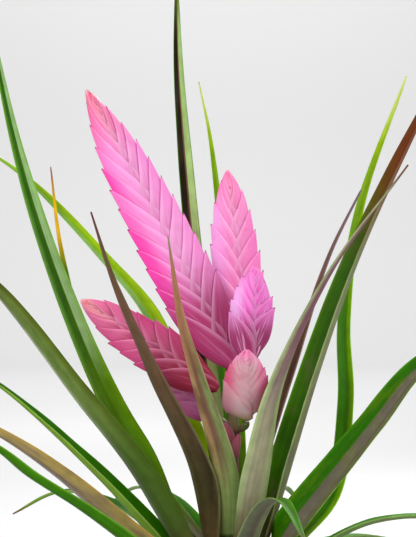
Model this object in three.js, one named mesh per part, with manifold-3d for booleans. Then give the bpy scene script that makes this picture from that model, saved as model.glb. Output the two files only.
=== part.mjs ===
// Pink quill, an air plant: a rosette of channelled strap leaves round a short woody crown,
// with a forked flower stalk that carries six flat pink paddles of overlapping bracts.
// Millimetres, +Z up. The origin is the middle of the crown's flat underside, on which the
// bare plant stands. The plant is seen from the front along +Y, with +X to the right.

import * as THREE from "three";
import { mergeVertices } from "three/addons/utils/BufferGeometryUtils.js";
import Module from "manifold-3d";

const wasm = await Module();
wasm.setup();

// Crown: the short woody stem, and its wiry roots as radius and height from their start to their tip
const CROWN_PROFILE = [[0, 0], [10.5, 0], [12, 2], [11.6, 10], [9.2, 26], [5.6, 42], [3.4, 47], [0, 48]];
const CROWN_SIDES = 16;
const ROOT_COUNT = 8;
const ROOT_SIDES = 5;
const ROOT_RADII = [1.0, 0.6];
const ROOT_START = [8, 3.2];
const ROOT_MIDDLE = [15, 2.4];
const ROOT_TIP_HEIGHT = 1.15;
const ROOT_REACHES = [19, 31];
const ROOT_SCATTER = 0.3;
const ROOT_BEND = 0.35;

// Leaves: how many steps along and where the points across lie, then the thickness of the blade
const LEAF_SEGMENTS = 9;
const SHEATH_SHARE = 0.22;
const SHEATH_WIDTH_LIMIT = 13.5;
const SHEATH_FOLD = 0.5;
const SHEATH_BREADTH = [1.2, 0.72];
const LEAF_ACROSS = [-1, -0.5, 0, 0.5, 1];
const LEAF_MID_THICKNESS = 1.3;
const LEAF_EDGE_THICKNESS = 0.7;
const LEAF_TIP_WIDTH = 0.9;
const LEAF_TIP_THICKNESS = 0.7;
const SEAT_GAP = 0.5;
const CHANNEL_ROUNDING = [1, 0.2];

// Flower stalk
const STALK_ROUTE = [[0, 0, 48.4], [0.5, 0, 62], [1, -0.5, 76], [1.6, -0.5, 92], [2, -0.5, 103]];
const STALK_RADIUS = [3.0, 2.1];
const BRANCH_RADIUS = 1.5;
const BRANCH_STRAIGHT = 2;
const JOINT_GAP = 0.3;
const STALK_SIDES = 7;
const TWIG_SIDES = 6;

// Scape bracts: azimuth and height of each on the stalk, then the outline as rows of
// share of the length, distance from the stalk's middle and share of the half breadth
const SCAPE_BRACTS = [[255, 54], [75, 57], [190, 62], [310, 65], [120, 68], [235, 70]];
const SCAPE_BRACT_OUTLINE = [[0, 1.6, 0.8], [0.4, 3.2, 1], [0.75, 4, 0.62], [1, 4.9, 0.12]];
const SCAPE_BRACT_LENGTH = 14;
const SCAPE_BRACT_HALF = 3.1;
const SCAPE_BRACT_THICKNESS = 0.8;

// Outline of a paddle: how closely its edges meet at the tip and over what share of its length
const PADDLE_CLOSING = 0.93;
const PADDLE_POINT_SHARE = 0.22;

// Bracts of the paddles. The keel runs out to the paddle's edge and ends in a free tooth, and
// the margin lies past the axis at first and then sweeps out to the keel.
const FIRST_BRACT = 2;
const BRACT_STATIONS = [0, 0.2, 0.46, 0.76, 1];
const KEEL_START = 1.35;
const KEEL_SWING = 2.6;
const TOOTH_LENGTH = 0.9;
const TOOTH_SHARPNESS = 5;
const MARGIN_WRAP = 0.3;
const MARGIN_TURN = 0.2;
const MARGIN_SWEEP = 1.1;
const MARGIN_END = 0.985;
const BRACT_MIDDLE = 0.55;
const BRACT_LIFT = 0.068;
const BRACT_FULL_REACH = 7;
const BRACT_ROUNDING = 2.2;
const BRACT_EDGE = 0.06;

// Slim heart of a paddle, under its bracts
const CORE_STATIONS = [0, 0.12, 0.4, 0.7, 0.9, 1];
const CORE_SHARE = 0.9;
const CORE_OPENING = 0.4;
const CORE_CLOSING = 24;
const CORE_TIP_HALF = 0.25;
const CORE_HALF_THICKNESS = 1.65;
const CORE_SHOULDER = 0.6;
const CORE_SLENDERNESS = 0.5;
const CORE_EDGE = 0.1;
const FOOT_SHARE = 0.3;

// Colours and finishes
const GREEN = { color: 0x5f8a35, roughness: 0.45, metalness: 0 };
const PALE_GREEN = { color: 0x8aa860, roughness: 0.5, metalness: 0 };
const OLIVE = { color: 0x77804f, roughness: 0.55, metalness: 0 };
const PURPLE_BROWN = { color: 0x7b5a55, roughness: 0.5, metalness: 0 };
const PINK = { color: 0xf46ab8, roughness: 0.45, metalness: 0 };
const BARK = { color: 0x5d4632, roughness: 0.85, metalness: 0 };
const STALK_GREEN = { color: 0x6f7a45, roughness: 0.6, metalness: 0 };

// One row for each leaf, from the innermost to the outermost, in millimetres and degrees.
// seat: azimuth and height of the root on the crown; route: points that the midrib passes;
// face: azimuth that the leaf's outer side looks to; turn: twist from root to tip;
// width and taper: breadth near the root and how fast it narrows; fold: depth of the channel.
const LEAVES = [
  { name: "leaf_back_tall", seat: [108, 42],
    route: [[-4, 9, 62], [-13.4, 28, 136], [-20.5, 52, 211], [-22.8, 72, 244], [-23.8, 88, 282]],
    face: 100, turn: -8, width: 10.5, taper: 0.55, fold: 0.5, look: GREEN },
  { name: "leaf_back_thin", seat: [62, 38],
    route: [[3, 14, 62], [-0.4, 38, 130], [-7.9, 66, 206], [-13.4, 80, 235]],
    face: 95, turn: 0, width: 11, taper: 1.1, fold: 0.5, look: PALE_GREEN },
  { name: "leaf_front_beige", seat: [262, 38],
    route: [[-2, -14, 63.7], [-13.6, -28, 105], [-19.8, -40, 128], [-25, -58, 162]],
    face: 262, turn: 0, width: 13.5, taper: 1.1, fold: 0.5, look: OLIVE },
  { name: "leaf_right_thin", seat: [10, 34],
    route: [[13.6, 5.8, 62], [30, 12.4, 115], [43, 25, 154], [57.9, 40, 184]],
    face: 30, turn: 0, width: 9, taper: 0.8, fold: 0.5, look: PURPLE_BROWN },
  { name: "leaf_left_bright", seat: [140, 32],
    route: [[-12, 15, 61], [-23, 30, 95], [-33.8, 44, 127], [-56.5, 60, 154.4], [-90.4, 76, 189.1],
      [-120.5, 90, 210]],
    face: 118, turn: 0, width: 15, taper: 0.9, fold: 0.5, look: PALE_GREEN },
  { name: "leaf_front_left", seat: [212, 29],
    route: [[-12.8, -12, 63.3], [-31.5, -22, 105], [-47, -38, 143], [-55.6, -52, 172]],
    face: 232, turn: 0, width: 17.5, taper: 1.15, fold: 0.5, look: OLIVE },
  { name: "leaf_back_inner", seat: [88, 28],
    route: [[1.5, 22.5, 58], [-3, 46, 92], [-6, 70, 116], [-8, 92, 126]],
    face: 92, turn: 0, width: 12, taper: 0.5, fold: 0.5, look: GREEN },
  { name: "leaf_front_right", seat: [302, 28],
    route: [[12, -15, 64], [19.6, -22, 100], [41.3, -33, 149], [70.5, -46, 191]],
    face: 296, turn: 60, width: 18, taper: 1.05, fold: 0.5, look: OLIVE },
  { name: "leaf_right_tall", seat: [357, 21],
    route: [[24, -1, 62.4], [38.4, 0, 110], [55.8, 2, 158], [94, 6, 240]],
    face: 387, turn: 8, width: 16, taper: 0.65, fold: 1.2, look: GREEN },
  { name: "leaf_left_small", seat: [139, 29],
    route: [[-33, 20, 60], [-50.4, 29, 91.5], [-65.4, 40.5, 123.6], [-75, 53, 159.3], [-80.5, 70, 195.6]],
    face: 130, turn: 0, width: 7.5, taper: 0.9, fold: 0.5, look: PALE_GREEN },
  { name: "leaf_left_tall", seat: [184, 20],
    route: [[-35, 5, 61.8], [-53, 12, 92.5], [-77.6, 30, 150.8], [-95.4, 50, 206.7], [-113, 75, 285.5]],
    face: 140, turn: -20, width: 21, taper: 1.1, fold: 0.6, look: GREEN },
  { name: "leaf_back_right", seat: [58, 23],
    route: [[18, 22, 54], [32, 44, 90], [42, 62, 114], [45, 74, 124]],
    face: 50, turn: 0, width: 11, taper: 0.9, fold: 0.5, look: GREEN },
  { name: "leaf_back_left", seat: [116, 18],
    route: [[-17, 26, 42], [-29, 44, 50], [-41, 64, 51], [-54, 86, 42]],
    face: 122, turn: 0, width: 11, taper: 0.9, fold: 0.5, look: GREEN },
  { name: "leaf_right_outer", seat: [328, 18],
    route: [[44.8, -14, 64.3], [60.2, -20, 85], [78.6, -28, 109], [109, -40, 125]],
    face: 410, turn: 0, width: 18.5, taper: 0.5, fold: 1, look: GREEN },
  { name: "leaf_left_outer", seat: [211, 16.5],
    route: [[-36.5, -12, 63.7], [-62, -17, 97], [-95.6, -22, 140.5], [-122, -30, 163]],
    face: 244, turn: 0, width: 13.8, taper: 0.5, fold: 0.5, look: OLIVE },
  { name: "leaf_right_upright", seat: [20, 14.5],
    route: [[27, 9, 32], [44.2, 17, 52], [51, 29, 91.3], [51, 42, 125.7], [58.6, 55, 176.2],
      [80.5, 68, 236.7]],
    face: 55, turn: 10, width: 10.8, taper: 0.75, fold: 0.45, look: PALE_GREEN },
  { name: "leaf_front_low", seat: [277, 14],
    route: [[8, -26, 40], [14, -48, 55], [20, -72, 59], [28, -104, 46]],
    face: 285, turn: 0, width: 12, taper: 0.8, fold: 0.5, look: OLIVE },
  { name: "leaf_back_low", seat: [76, 13.5],
    route: [[9.4, 34.4, 36], [18, 62, 47], [26, 92, 48], [36, 120, 36]],
    face: 74, turn: 0, width: 12, taper: 0.8, fold: 0.5, look: GREEN },
  { name: "leaf_left_low", seat: [170, 13],
    route: [[-34.5, 6, 38], [-56.5, 9, 61.8], [-99.5, 16, 100], [-119, 20, 109.6]],
    face: 160, turn: 0, width: 15.5, taper: 1.1, fold: 1.1, look: GREEN },
  { name: "leaf_front_left_low", seat: [251, 12.5],
    route: [[-20, -36, 34], [-32, -54, 42], [-46, -76, 40], [-60, -100, 22]],
    face: 240, turn: 0, width: 12, taper: 0.8, fold: 0.5, look: OLIVE },
  { name: "leaf_right_low", seat: [354, 11],
    route: [[40, -4, 34], [62, -5, 44], [90, -4, 44], [118, -2, 26]],
    face: 355, turn: 0, width: 12.5, taper: 0.8, fold: 0.5, look: GREEN },
  { name: "leaf_left_beige", seat: [192, 11],
    route: [[-41, -12, 38], [-70.7, -22, 65], [-94.3, -29, 82], [-130, -38, 100]],
    face: 240, turn: 0, width: 17, taper: 0.7, fold: 0.5, look: OLIVE },
  { name: "leaf_back_left_low", seat: [140, 9],
    route: [[-30, 23, 32.8], [-50, 37.5, 46], [-74, 56, 50], [-98, 76, 38]],
    face: 145, turn: 0, width: 12, taper: 0.8, fold: 0.5, look: GREEN },
  { name: "leaf_front_right_low", seat: [308, 9.5],
    route: [[24, -30, 30], [38, -48, 36], [56, -68, 32], [76, -90, 10]],
    face: 310, turn: 0, width: 12, taper: 0.8, fold: 0.5, look: OLIVE },
  { name: "leaf_left_bottom", seat: [218, 8.5],
    route: [[-38, -22, 34], [-60, -33, 52], [-80.3, -42, 66.4], [-92.4, -47, 77], [-124, -58, 98]],
    face: 240, turn: 0, width: 12.5, taper: 0.7, fold: 0.5, look: GREEN },
  { name: "leaf_back_right_low", seat: [32, 8.5],
    route: [[30, 20, 26], [50, 33, 32], [74, 48, 28], [98, 62, 8]],
    face: 32, turn: 0, width: 12, taper: 0.8, fold: 0.5, look: GREEN },
  { name: "leaf_ground_front", seat: [264, 7],
    route: [[-3, -36, 24], [-5, -58, 28], [-8, -84, 20], [-10, -108, 0.8]],
    face: 266, turn: 0, width: 11.5, taper: 0.8, fold: 0.45, look: OLIVE },
  { name: "leaf_ground_back", seat: [104, 7],
    route: [[-9, 34, 22], [-15, 58, 28], [-22, 84, 21], [-28, 108, 0.8]],
    face: 104, turn: 0, width: 11.5, taper: 0.8, fold: 0.45, look: GREEN },
  { name: "leaf_ground_left", seat: [168, 7],
    route: [[-35, 6, 20], [-58, 11, 25], [-84, 16, 18], [-108, 20, 0.8]],
    face: 168, turn: 0, width: 11.5, taper: 0.8, fold: 0.45, look: OLIVE },
  { name: "leaf_ground_right", seat: [333, 7],
    route: [[31, -15, 20], [53, -25, 25], [78, -36, 18], [102, -46, 0.8]],
    face: 334, turn: 0, width: 11.5, taper: 0.8, fold: 0.45, look: OLIVE },
];

// One row for each paddle. foot: where it leaves the stalk; base and tip: ends of its axis;
// face: azimuth that its flat face looks to; reach: half breadth; pairs: bracts on each side.
const PADDLES = [
  { name: "paddle_main", foot: 0.98, base: [2.3, -3.5, 106], tip: [-59.8, -9, 224.2],
    face: 285, reach: 13, bractLength: 36, pairs: 11 },
  { name: "paddle_back", foot: 0.9, base: [6.4, 6, 112], tip: [-0.8, 12, 191.9],
    face: 262, reach: 11.2, bractLength: 30, pairs: 6 },
  { name: "paddle_right", foot: 0.86, base: [7.5, -8, 108], tip: [10.2, -12, 150.5],
    face: 268, reach: 9.8, bractLength: 22, pairs: 4 },
  { name: "paddle_front", foot: 0.6, base: [6.5, -8, 86], tip: [6.5, -34, 117],
    face: 270, reach: 9.8, bractLength: 22, pairs: 4 },
  { name: "paddle_left", foot: 0.8, base: [-3.5, -9.5, 98.5], tip: [-62, -12, 136.9],
    face: 262, reach: 10.6, bractLength: 28, pairs: 6 },
  { name: "paddle_low", foot: 0.55, base: [-4.5, 2, 86], tip: [-33.7, 3, 105.5],
    face: 262, reach: 6.5, bractLength: 19, pairs: 3 },
];

const toRadians = THREE.MathUtils.degToRad;
const vector = (point) => new THREE.Vector3(...point);

/** Closed faces over rings of equal length: the sides between rings and a fan at each end. */
function loftGeometry(rings, capFaces) {
  const count = rings[0].length;
  const positions = rings.flat().flatMap((point) => [point.x, point.y, point.z]);
  const faces = [];
  for (let row = 0; row + 1 < rings.length; row += 1) {
    for (let k = 0; k < count; k += 1) {
      const next = (k + 1) % count;
      const [a, b] = [row * count + k, row * count + next];
      const [c, d] = [a + count, b + count];
      // The upper and lower faces of a blade are split along the same diagonal.
      if (k < count / 2) {
        faces.push(a, b, d, a, d, c);
      } else {
        faces.push(a, b, c, b, d, c);
      }
    }
  }
  const last = (rings.length - 1) * count;
  for (const [a, b, c] of capFaces) {
    faces.push(c, b, a, last + a, last + b, last + c);
  }
  const geometry = new THREE.BufferGeometry();
  geometry.setAttribute("position", new THREE.Float32BufferAttribute(positions, 3));
  geometry.setIndex(faces);
  return geometry;
}

/** Radius of the crown's side at a height. */
function crownRadius(height) {
  for (let k = 1; k + 1 < CROWN_PROFILE.length; k += 1) {
    const [[r0, z0], [r1, z1]] = [CROWN_PROFILE[k], CROWN_PROFILE[k + 1]];
    if (height <= z1) {
      return r0 + ((r1 - r0) * (height - z0)) / (z1 - z0);
    }
  }
  return 0;
}

/** Midrib of a leaf: from its seat on the crown through its own points to its tip. */
function leafCurve(leaf) {
  const [azimuth, height] = leaf.seat;
  const angle = toRadians(azimuth);
  const radius = crownRadius(height) + SEAT_GAP + LEAF_MID_THICKNESS / 2;
  const seat = new THREE.Vector3(radius * Math.cos(angle), radius * Math.sin(angle), height);
  return new THREE.CatmullRomCurve3([seat, ...leaf.route.map(vector)], false, "centripetal");
}

/** A strap leaf: a channelled blade along its midrib that tapers to a thread. */
function leafGeometry(leaf) {
  const curve = leafCurve(leaf);
  const breadth = THREE.MathUtils.lerp(...SHEATH_BREADTH, leaf.seat[1] / LEAVES[0].seat[1]);
  const sheath = breadth * Math.min(leaf.width, SHEATH_WIDTH_LIMIT);
  const rings = [];
  for (let j = 0; j <= LEAF_SEGMENTS; j += 1) {
    const s = j / LEAF_SEGMENTS;
    const center = curve.getPointAt(s);
    const along = curve.getTangentAt(s);
    const blade = THREE.MathUtils.smoothstep(s, 0, SHEATH_SHARE);
    const twist = leaf.turn * THREE.MathUtils.smoothstep(s, 0, 1);
    const facing = toRadians(THREE.MathUtils.lerp(leaf.seat[0], leaf.face, blade) + twist);
    const across = new THREE.Vector3(-Math.sin(facing), Math.cos(facing), 0);
    across.addScaledVector(along, -across.dot(along)).normalize();
    const inward = new THREE.Vector3().crossVectors(along, across);
    const rounding = THREE.MathUtils.lerp(...CHANNEL_ROUNDING, blade);
    const foot = THREE.MathUtils.lerp(sheath, leaf.width, blade);
    const half = (LEAF_TIP_WIDTH + (foot - LEAF_TIP_WIDTH) * (1 - s) ** leaf.taper) / 2;
    const fold = THREE.MathUtils.lerp(SHEATH_FOLD, leaf.fold, blade);
    const thin = THREE.MathUtils.lerp(1, LEAF_TIP_THICKNESS / LEAF_MID_THICKNESS, s);
    const place = (u, side) => {
      const rise = fold * half * (Math.hypot(u, rounding) - rounding);
      const middle = LEAF_MID_THICKNESS * thin;
      const sloped = THREE.MathUtils.lerp(middle, LEAF_EDGE_THICKNESS, Math.abs(u));
      const thickness = Math.max(sloped, LEAF_EDGE_THICKNESS);
      return center.clone()
        .addScaledVector(across, u * half)
        .addScaledVector(inward, rise + (side * thickness) / 2);
    };
    rings.push([
      ...LEAF_ACROSS.map((u) => place(u, -1)),
      ...LEAF_ACROSS.toReversed().map((u) => place(u, 1)),
    ]);
  }
  return loftGeometry(rings, bladeCap(LEAF_ACROSS.length));
}

/** Triangles that close the end of a blade whose ring runs out below and back above. */
function bladeCap(across) {
  const faces = [];
  for (let k = 0; k + 1 < across; k += 1) {
    const [a, b] = [k, k + 1];
    const [c, d] = [2 * across - 1 - k, 2 * across - 2 - k];
    faces.push([a, b, d], [a, d, c]);
  }
  return faces;
}

/** A manifold solid from a closed geometry. */
function toSolid(geometry) {
  const bare = geometry.clone();
  bare.deleteAttribute("normal");
  bare.deleteAttribute("uv");
  const merged = mergeVertices(bare, 1e-4);
  return new wasm.Manifold(new wasm.Mesh({
    numProp: 3,
    vertProperties: new Float32Array(merged.getAttribute("position").array),
    triVerts: new Uint32Array(merged.getIndex().array),
  }));
}

/** A geometry from a manifold solid. */
function toGeometry(solid) {
  const mesh = solid.getMesh();
  const geometry = new THREE.BufferGeometry();
  geometry.setAttribute("position", new THREE.BufferAttribute(mesh.vertProperties, 3));
  geometry.setIndex(new THREE.BufferAttribute(mesh.triVerts, 1));
  return geometry;
}

/** Joins solids that overlap into one. */
function fuse(solids) {
  return solids.reduce((whole, solid) => whole.add(solid));
}

/** A round tube along points, with its radius running from one value to another. */
function tubeSolid(points, radii, sides) {
  const curve = new THREE.CatmullRomCurve3(points, false, "centripetal");
  const steps = 2 * (points.length - 1);
  const frames = curve.computeFrenetFrames(steps, false);
  const rings = [];
  for (let j = 0; j <= steps; j += 1) {
    const center = curve.getPointAt(j / steps);
    const radius = THREE.MathUtils.lerp(radii[0], radii[1], j / steps);
    const ring = [];
    for (let k = 0; k < sides; k += 1) {
      const angle = (2 * Math.PI * k) / sides;
      ring.push(center.clone()
        .addScaledVector(frames.normals[j], radius * Math.cos(angle))
        .addScaledVector(frames.binormals[j], radius * Math.sin(angle)));
    }
    rings.push(ring);
  }
  return toSolid(loftGeometry(rings, fanCap(sides)));
}

/** Triangles that close a convex ring. */
function fanCap(sides) {
  return Array.from({ length: sides - 2 }, (_, k) => [0, k + 1, k + 2]);
}

/** Woody crown with a flat underside and a few wiry root stubs. */
function crownGeometry() {
  const profile = CROWN_PROFILE.map(([radius, height]) => new THREE.Vector2(radius, height));
  const crown = toSolid(new THREE.LatheGeometry(profile, CROWN_SIDES).rotateX(Math.PI / 2));
  const roots = [];
  for (let k = 0; k < ROOT_COUNT; k += 1) {
    const angle = (2 * Math.PI * (k + ROOT_SCATTER * Math.sin(5 * k))) / ROOT_COUNT;
    const bend = ROOT_BEND * Math.sin(2.4 * k);
    const at = (turn, [radius, height]) => new THREE.Vector3(
      radius * Math.cos(angle + turn), radius * Math.sin(angle + turn), height);
    const tip = [ROOT_REACHES[k % ROOT_REACHES.length], ROOT_TIP_HEIGHT];
    roots.push(tubeSolid([at(0, ROOT_START), at(bend / 2, ROOT_MIDDLE), at(bend, tip)],
      ROOT_RADII, ROOT_SIDES));
  }
  return toGeometry(fuse([crown, ...roots]));
}

/** Half breadth of a paddle at a height above its base: a lance that closes to its tip. */
function paddleReach(paddle, length, height) {
  const closeness = Math.exp((height - length) / (PADDLE_POINT_SHARE * length));
  return paddle.reach * (1 - PADDLE_CLOSING * closeness);
}

/** One bract: a keeled scale that wraps the paddle's axis and ends in a tooth at its edge. */
function bractSolid(paddle, length, side, start) {
  const rings = BRACT_STATIONS.map((t) => {
    const z = start + paddle.bractLength * t;
    const reach = paddleReach(paddle, length, z);
    const tooth = TOOTH_LENGTH * t ** TOOTH_SHARPNESS;
    const keel = KEEL_START + (reach - KEEL_START) * (1 - (1 - t) ** KEEL_SWING) + tooth;
    const wrap = -Math.min(MARGIN_WRAP * reach, keel);
    const sweep = Math.max(0, (t - MARGIN_TURN) / (1 - MARGIN_TURN)) ** MARGIN_SWEEP;
    const margin = THREE.MathUtils.lerp(wrap, MARGIN_END * keel, sweep);
    const fullness = Math.min(1, reach / BRACT_FULL_REACH);
    const height = KEEL_START + BRACT_LIFT * paddle.bractLength * t * fullness;
    const face = (x) => height * Math.max(BRACT_EDGE, 1 - Math.max(0, x / keel) ** BRACT_ROUNDING);
    const middle = THREE.MathUtils.lerp(margin, keel, BRACT_MIDDLE);
    const ring = [[margin, face(margin)], [middle, face(middle)], [keel, 0],
      [middle, -face(middle)], [margin, -face(margin)]];
    const placed = ring.map(([x, y]) => new THREE.Vector3(side * x, y, z));
    return side > 0 ? placed.reverse() : placed;
  });
  return toSolid(loftGeometry(rings, fanCap(rings[0].length)));
}

/** The young bracts at the heart of a paddle, as one slim lance under the outer ones. */
function paddleCore(paddle, length) {
  const rings = CORE_STATIONS.map((t) => {
    const z = FIRST_BRACT + (length - FIRST_BRACT) * t;
    const opening = 1 - Math.exp(-z / (CORE_OPENING * paddle.bractLength));
    const share = CORE_SHARE * opening * (1 - t ** CORE_CLOSING);
    const half = Math.max(CORE_TIP_HALF, share * paddleReach(paddle, length, z));
    const thick = Math.min(CORE_HALF_THICKNESS, CORE_SLENDERNESS * half + CORE_EDGE);
    const shoulder = CORE_SHOULDER * half;
    return [[half, 0], [shoulder, thick], [-shoulder, thick], [-half, 0],
      [-shoulder, -thick], [shoulder, -thick]].map(([x, y]) => new THREE.Vector3(x, y, z));
  });
  return toSolid(loftGeometry(rings, fanCap(rings[0].length)));
}

/** A paddle in its own frame: its axis along +Z from its base, its flat face across Y. */
function paddleSolid(paddle, length) {
  const foot = [0, FIRST_BRACT, FOOT_SHARE * paddle.bractLength].map((z) => new THREE.Vector3(0, 0, z));
  const twig = tubeSolid(foot, [BRANCH_RADIUS, BRANCH_RADIUS], TWIG_SIDES);
  const solids = [twig, paddleCore(paddle, length)];
  const count = 2 * paddle.pairs;
  const span = length - paddle.bractLength - FIRST_BRACT;
  for (let k = 0; k < count; k += 1) {
    const start = FIRST_BRACT + (span * k) / (count - 1);
    solids.push(bractSolid(paddle, length, k % 2 === 0 ? 1 : -1, start));
  }
  return fuse(solids);
}

/** Turns and moves a mesh so that its +Z runs from base to tip and its +Y looks to the azimuth. */
function standPaddle(mesh, paddle) {
  const axis = vector(paddle.tip).sub(vector(paddle.base)).normalize();
  const angle = toRadians(paddle.face);
  const normal = new THREE.Vector3(Math.cos(angle), Math.sin(angle), 0);
  normal.addScaledVector(axis, -normal.dot(axis)).normalize();
  const across = new THREE.Vector3().crossVectors(normal, axis);
  mesh.quaternion.setFromRotationMatrix(new THREE.Matrix4().makeBasis(across, normal, axis));
  mesh.position.copy(vector(paddle.base));
}

/** A small pointed scale that clasps the stalk and leans off it towards its tip. */
function scapeBract(curve, azimuth, height) {
  const angle = toRadians(azimuth);
  const share = (height - STALK_ROUTE[0][2]) / (STALK_ROUTE.at(-1)[2] - STALK_ROUTE[0][2]);
  const foot = curve.getPointAt(share);
  const rings = SCAPE_BRACT_OUTLINE.map(([t, off, breadth]) => {
    const place = (u, side) => {
      const turn = angle + (u * breadth * SCAPE_BRACT_HALF) / off;
      const radius = off + (side * SCAPE_BRACT_THICKNESS) / 2;
      return new THREE.Vector3(foot.x + radius * Math.cos(turn), foot.y + radius * Math.sin(turn),
        height + SCAPE_BRACT_LENGTH * t);
    };
    return [...[-1, 0, 1].map((u) => place(u, 1)), ...[1, 0, -1].map((u) => place(u, -1))];
  });
  return toSolid(loftGeometry(rings, bladeCap(3)));
}

/** Flower stalk with one branch to the foot of each paddle. */
function stalkGeometry() {
  const route = STALK_ROUTE.map(vector);
  const curve = new THREE.CatmullRomCurve3(route, false, "centripetal");
  const bracts = SCAPE_BRACTS.map(([azimuth, height]) => scapeBract(curve, azimuth, height));
  const solids = [tubeSolid(route, STALK_RADIUS, STALK_SIDES), ...bracts];
  for (const paddle of PADDLES) {
    const axis = vector(paddle.tip).sub(vector(paddle.base)).normalize();
    const end = vector(paddle.base).addScaledVector(axis, -JOINT_GAP);
    const below = end.clone().addScaledVector(axis, -BRANCH_STRAIGHT);
    solids.push(tubeSolid([curve.getPointAt(paddle.foot), below, end],
      [BRANCH_RADIUS, BRANCH_RADIUS], TWIG_SIDES));
  }
  return toGeometry(fuse(solids));
}

const group = new THREE.Group();

/** Adds a named mesh to the plant. */
function addMesh(name, geometry, look) {
  const mesh = new THREE.Mesh(geometry, new THREE.MeshStandardMaterial(look));
  mesh.name = name;
  group.add(mesh);
  return mesh;
}

addMesh("crown", crownGeometry(), BARK);
addMesh("flower_stalk", stalkGeometry(), STALK_GREEN);

for (const leaf of LEAVES) {
  addMesh(leaf.name, leafGeometry(leaf), leaf.look);
}

for (const paddle of PADDLES) {
  const length = vector(paddle.tip).distanceTo(vector(paddle.base));
  const mesh = addMesh(paddle.name, toGeometry(paddleSolid(paddle, length)), PINK);
  standPaddle(mesh, paddle);
}

export default group;
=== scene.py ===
"""Pink quill, an air plant with pink flower paddles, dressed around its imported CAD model.

The sub-assemblies are the woody crown with its roots, the leaves, the flower stalk and the
flower paddles. Each is a class that holds its sizes in millimetres, builds its meshes and
gives them their finishes. Blender works in metres, so every mesh is scaled once by MM.
"""

import logging
import math
from bisect import bisect_right
from collections.abc import Callable, Iterable, Mapping
from dataclasses import dataclass, field
from enum import Enum

import bmesh
import bpy
from mathutils import Matrix, Vector, noise
from mathutils.geometry import interpolate_bezier


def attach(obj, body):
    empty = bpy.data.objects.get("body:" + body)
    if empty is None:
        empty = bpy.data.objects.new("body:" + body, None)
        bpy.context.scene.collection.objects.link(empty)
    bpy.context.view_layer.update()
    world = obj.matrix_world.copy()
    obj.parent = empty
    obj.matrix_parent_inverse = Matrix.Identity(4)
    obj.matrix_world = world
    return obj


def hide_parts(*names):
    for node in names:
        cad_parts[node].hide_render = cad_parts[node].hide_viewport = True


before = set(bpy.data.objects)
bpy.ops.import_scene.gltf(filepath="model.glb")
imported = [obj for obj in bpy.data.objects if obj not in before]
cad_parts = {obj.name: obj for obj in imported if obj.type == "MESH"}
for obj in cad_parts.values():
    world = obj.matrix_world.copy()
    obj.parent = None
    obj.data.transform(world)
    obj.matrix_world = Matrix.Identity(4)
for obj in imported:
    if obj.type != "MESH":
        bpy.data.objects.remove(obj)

log = logging.getLogger("pink_quill")

MM = 0.001
BODY = "root"
SHARES_MAP = "Shares"
SMOOTH = "SMOOTHSTEP"
WELD = 1e-4
# Noise seldom nears 1, so a wobble is raised, and each seed follows a line far from the next.
WOBBLE_GAIN = 1.6
WOBBLE_SPACING = 7.3
WOBBLE_DEPTH = 2.1
# The wave texture's own bands are this far apart at a scale of 1.
BAND_UNIT = 0.314
Point = tuple[float, float, float]
Rule = Callable[[float, float], Vector]


class Slot(Enum):
    """The record's material slots."""

    LEAF_GREEN = "leaf_green"
    LEAF_BRIGHT = "leaf_bright"
    LEAF_OLIVE = "leaf_olive"
    BRACT = "bract_pink"
    STALK = "stalk_green"
    BARK = "crown_bark"


def lerp(start: float, end: float, share: float) -> float:
    """Returns the value that lies at a share of the way from start to end."""
    return start + (end - start) * share


def smoothstep(value: float, low: float, high: float) -> float:
    """Returns 0 below low, 1 above high and a smooth rise between them."""
    share = min(1.0, max(0.0, (value - low) / (high - low)))
    return share * share * (3.0 - 2.0 * share)


def linear(colour: str) -> tuple[float, float, float, float]:
    """Turns an sRGB hex colour into linear light.

    Args:
        colour: Six hex digits after a hash sign.

    Returns:
        Red, green, blue and an alpha of 1.
    """
    parts = [int(colour[k:k + 2], 16) / 255.0 for k in (1, 3, 5)]
    red, green, blue = (
        part / 12.92 if part <= 0.04045 else ((part + 0.055) / 1.055) ** 2.4 for part in parts
    )
    return (red, green, blue, 1.0)


def wobble(seed: float, place: float, pace: float) -> float:
    """Returns a smooth irregular value from about -1 to 1.

    Args:
        seed: Which irregular line to follow.
        place: Where on it, such as a share of a length.
        pace: How many swells the line has over one unit of place.

    Returns:
        The value there.
    """
    return WOBBLE_GAIN * noise.noise(Vector((place * pace, WOBBLE_SPACING * seed, WOBBLE_DEPTH)))


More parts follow.
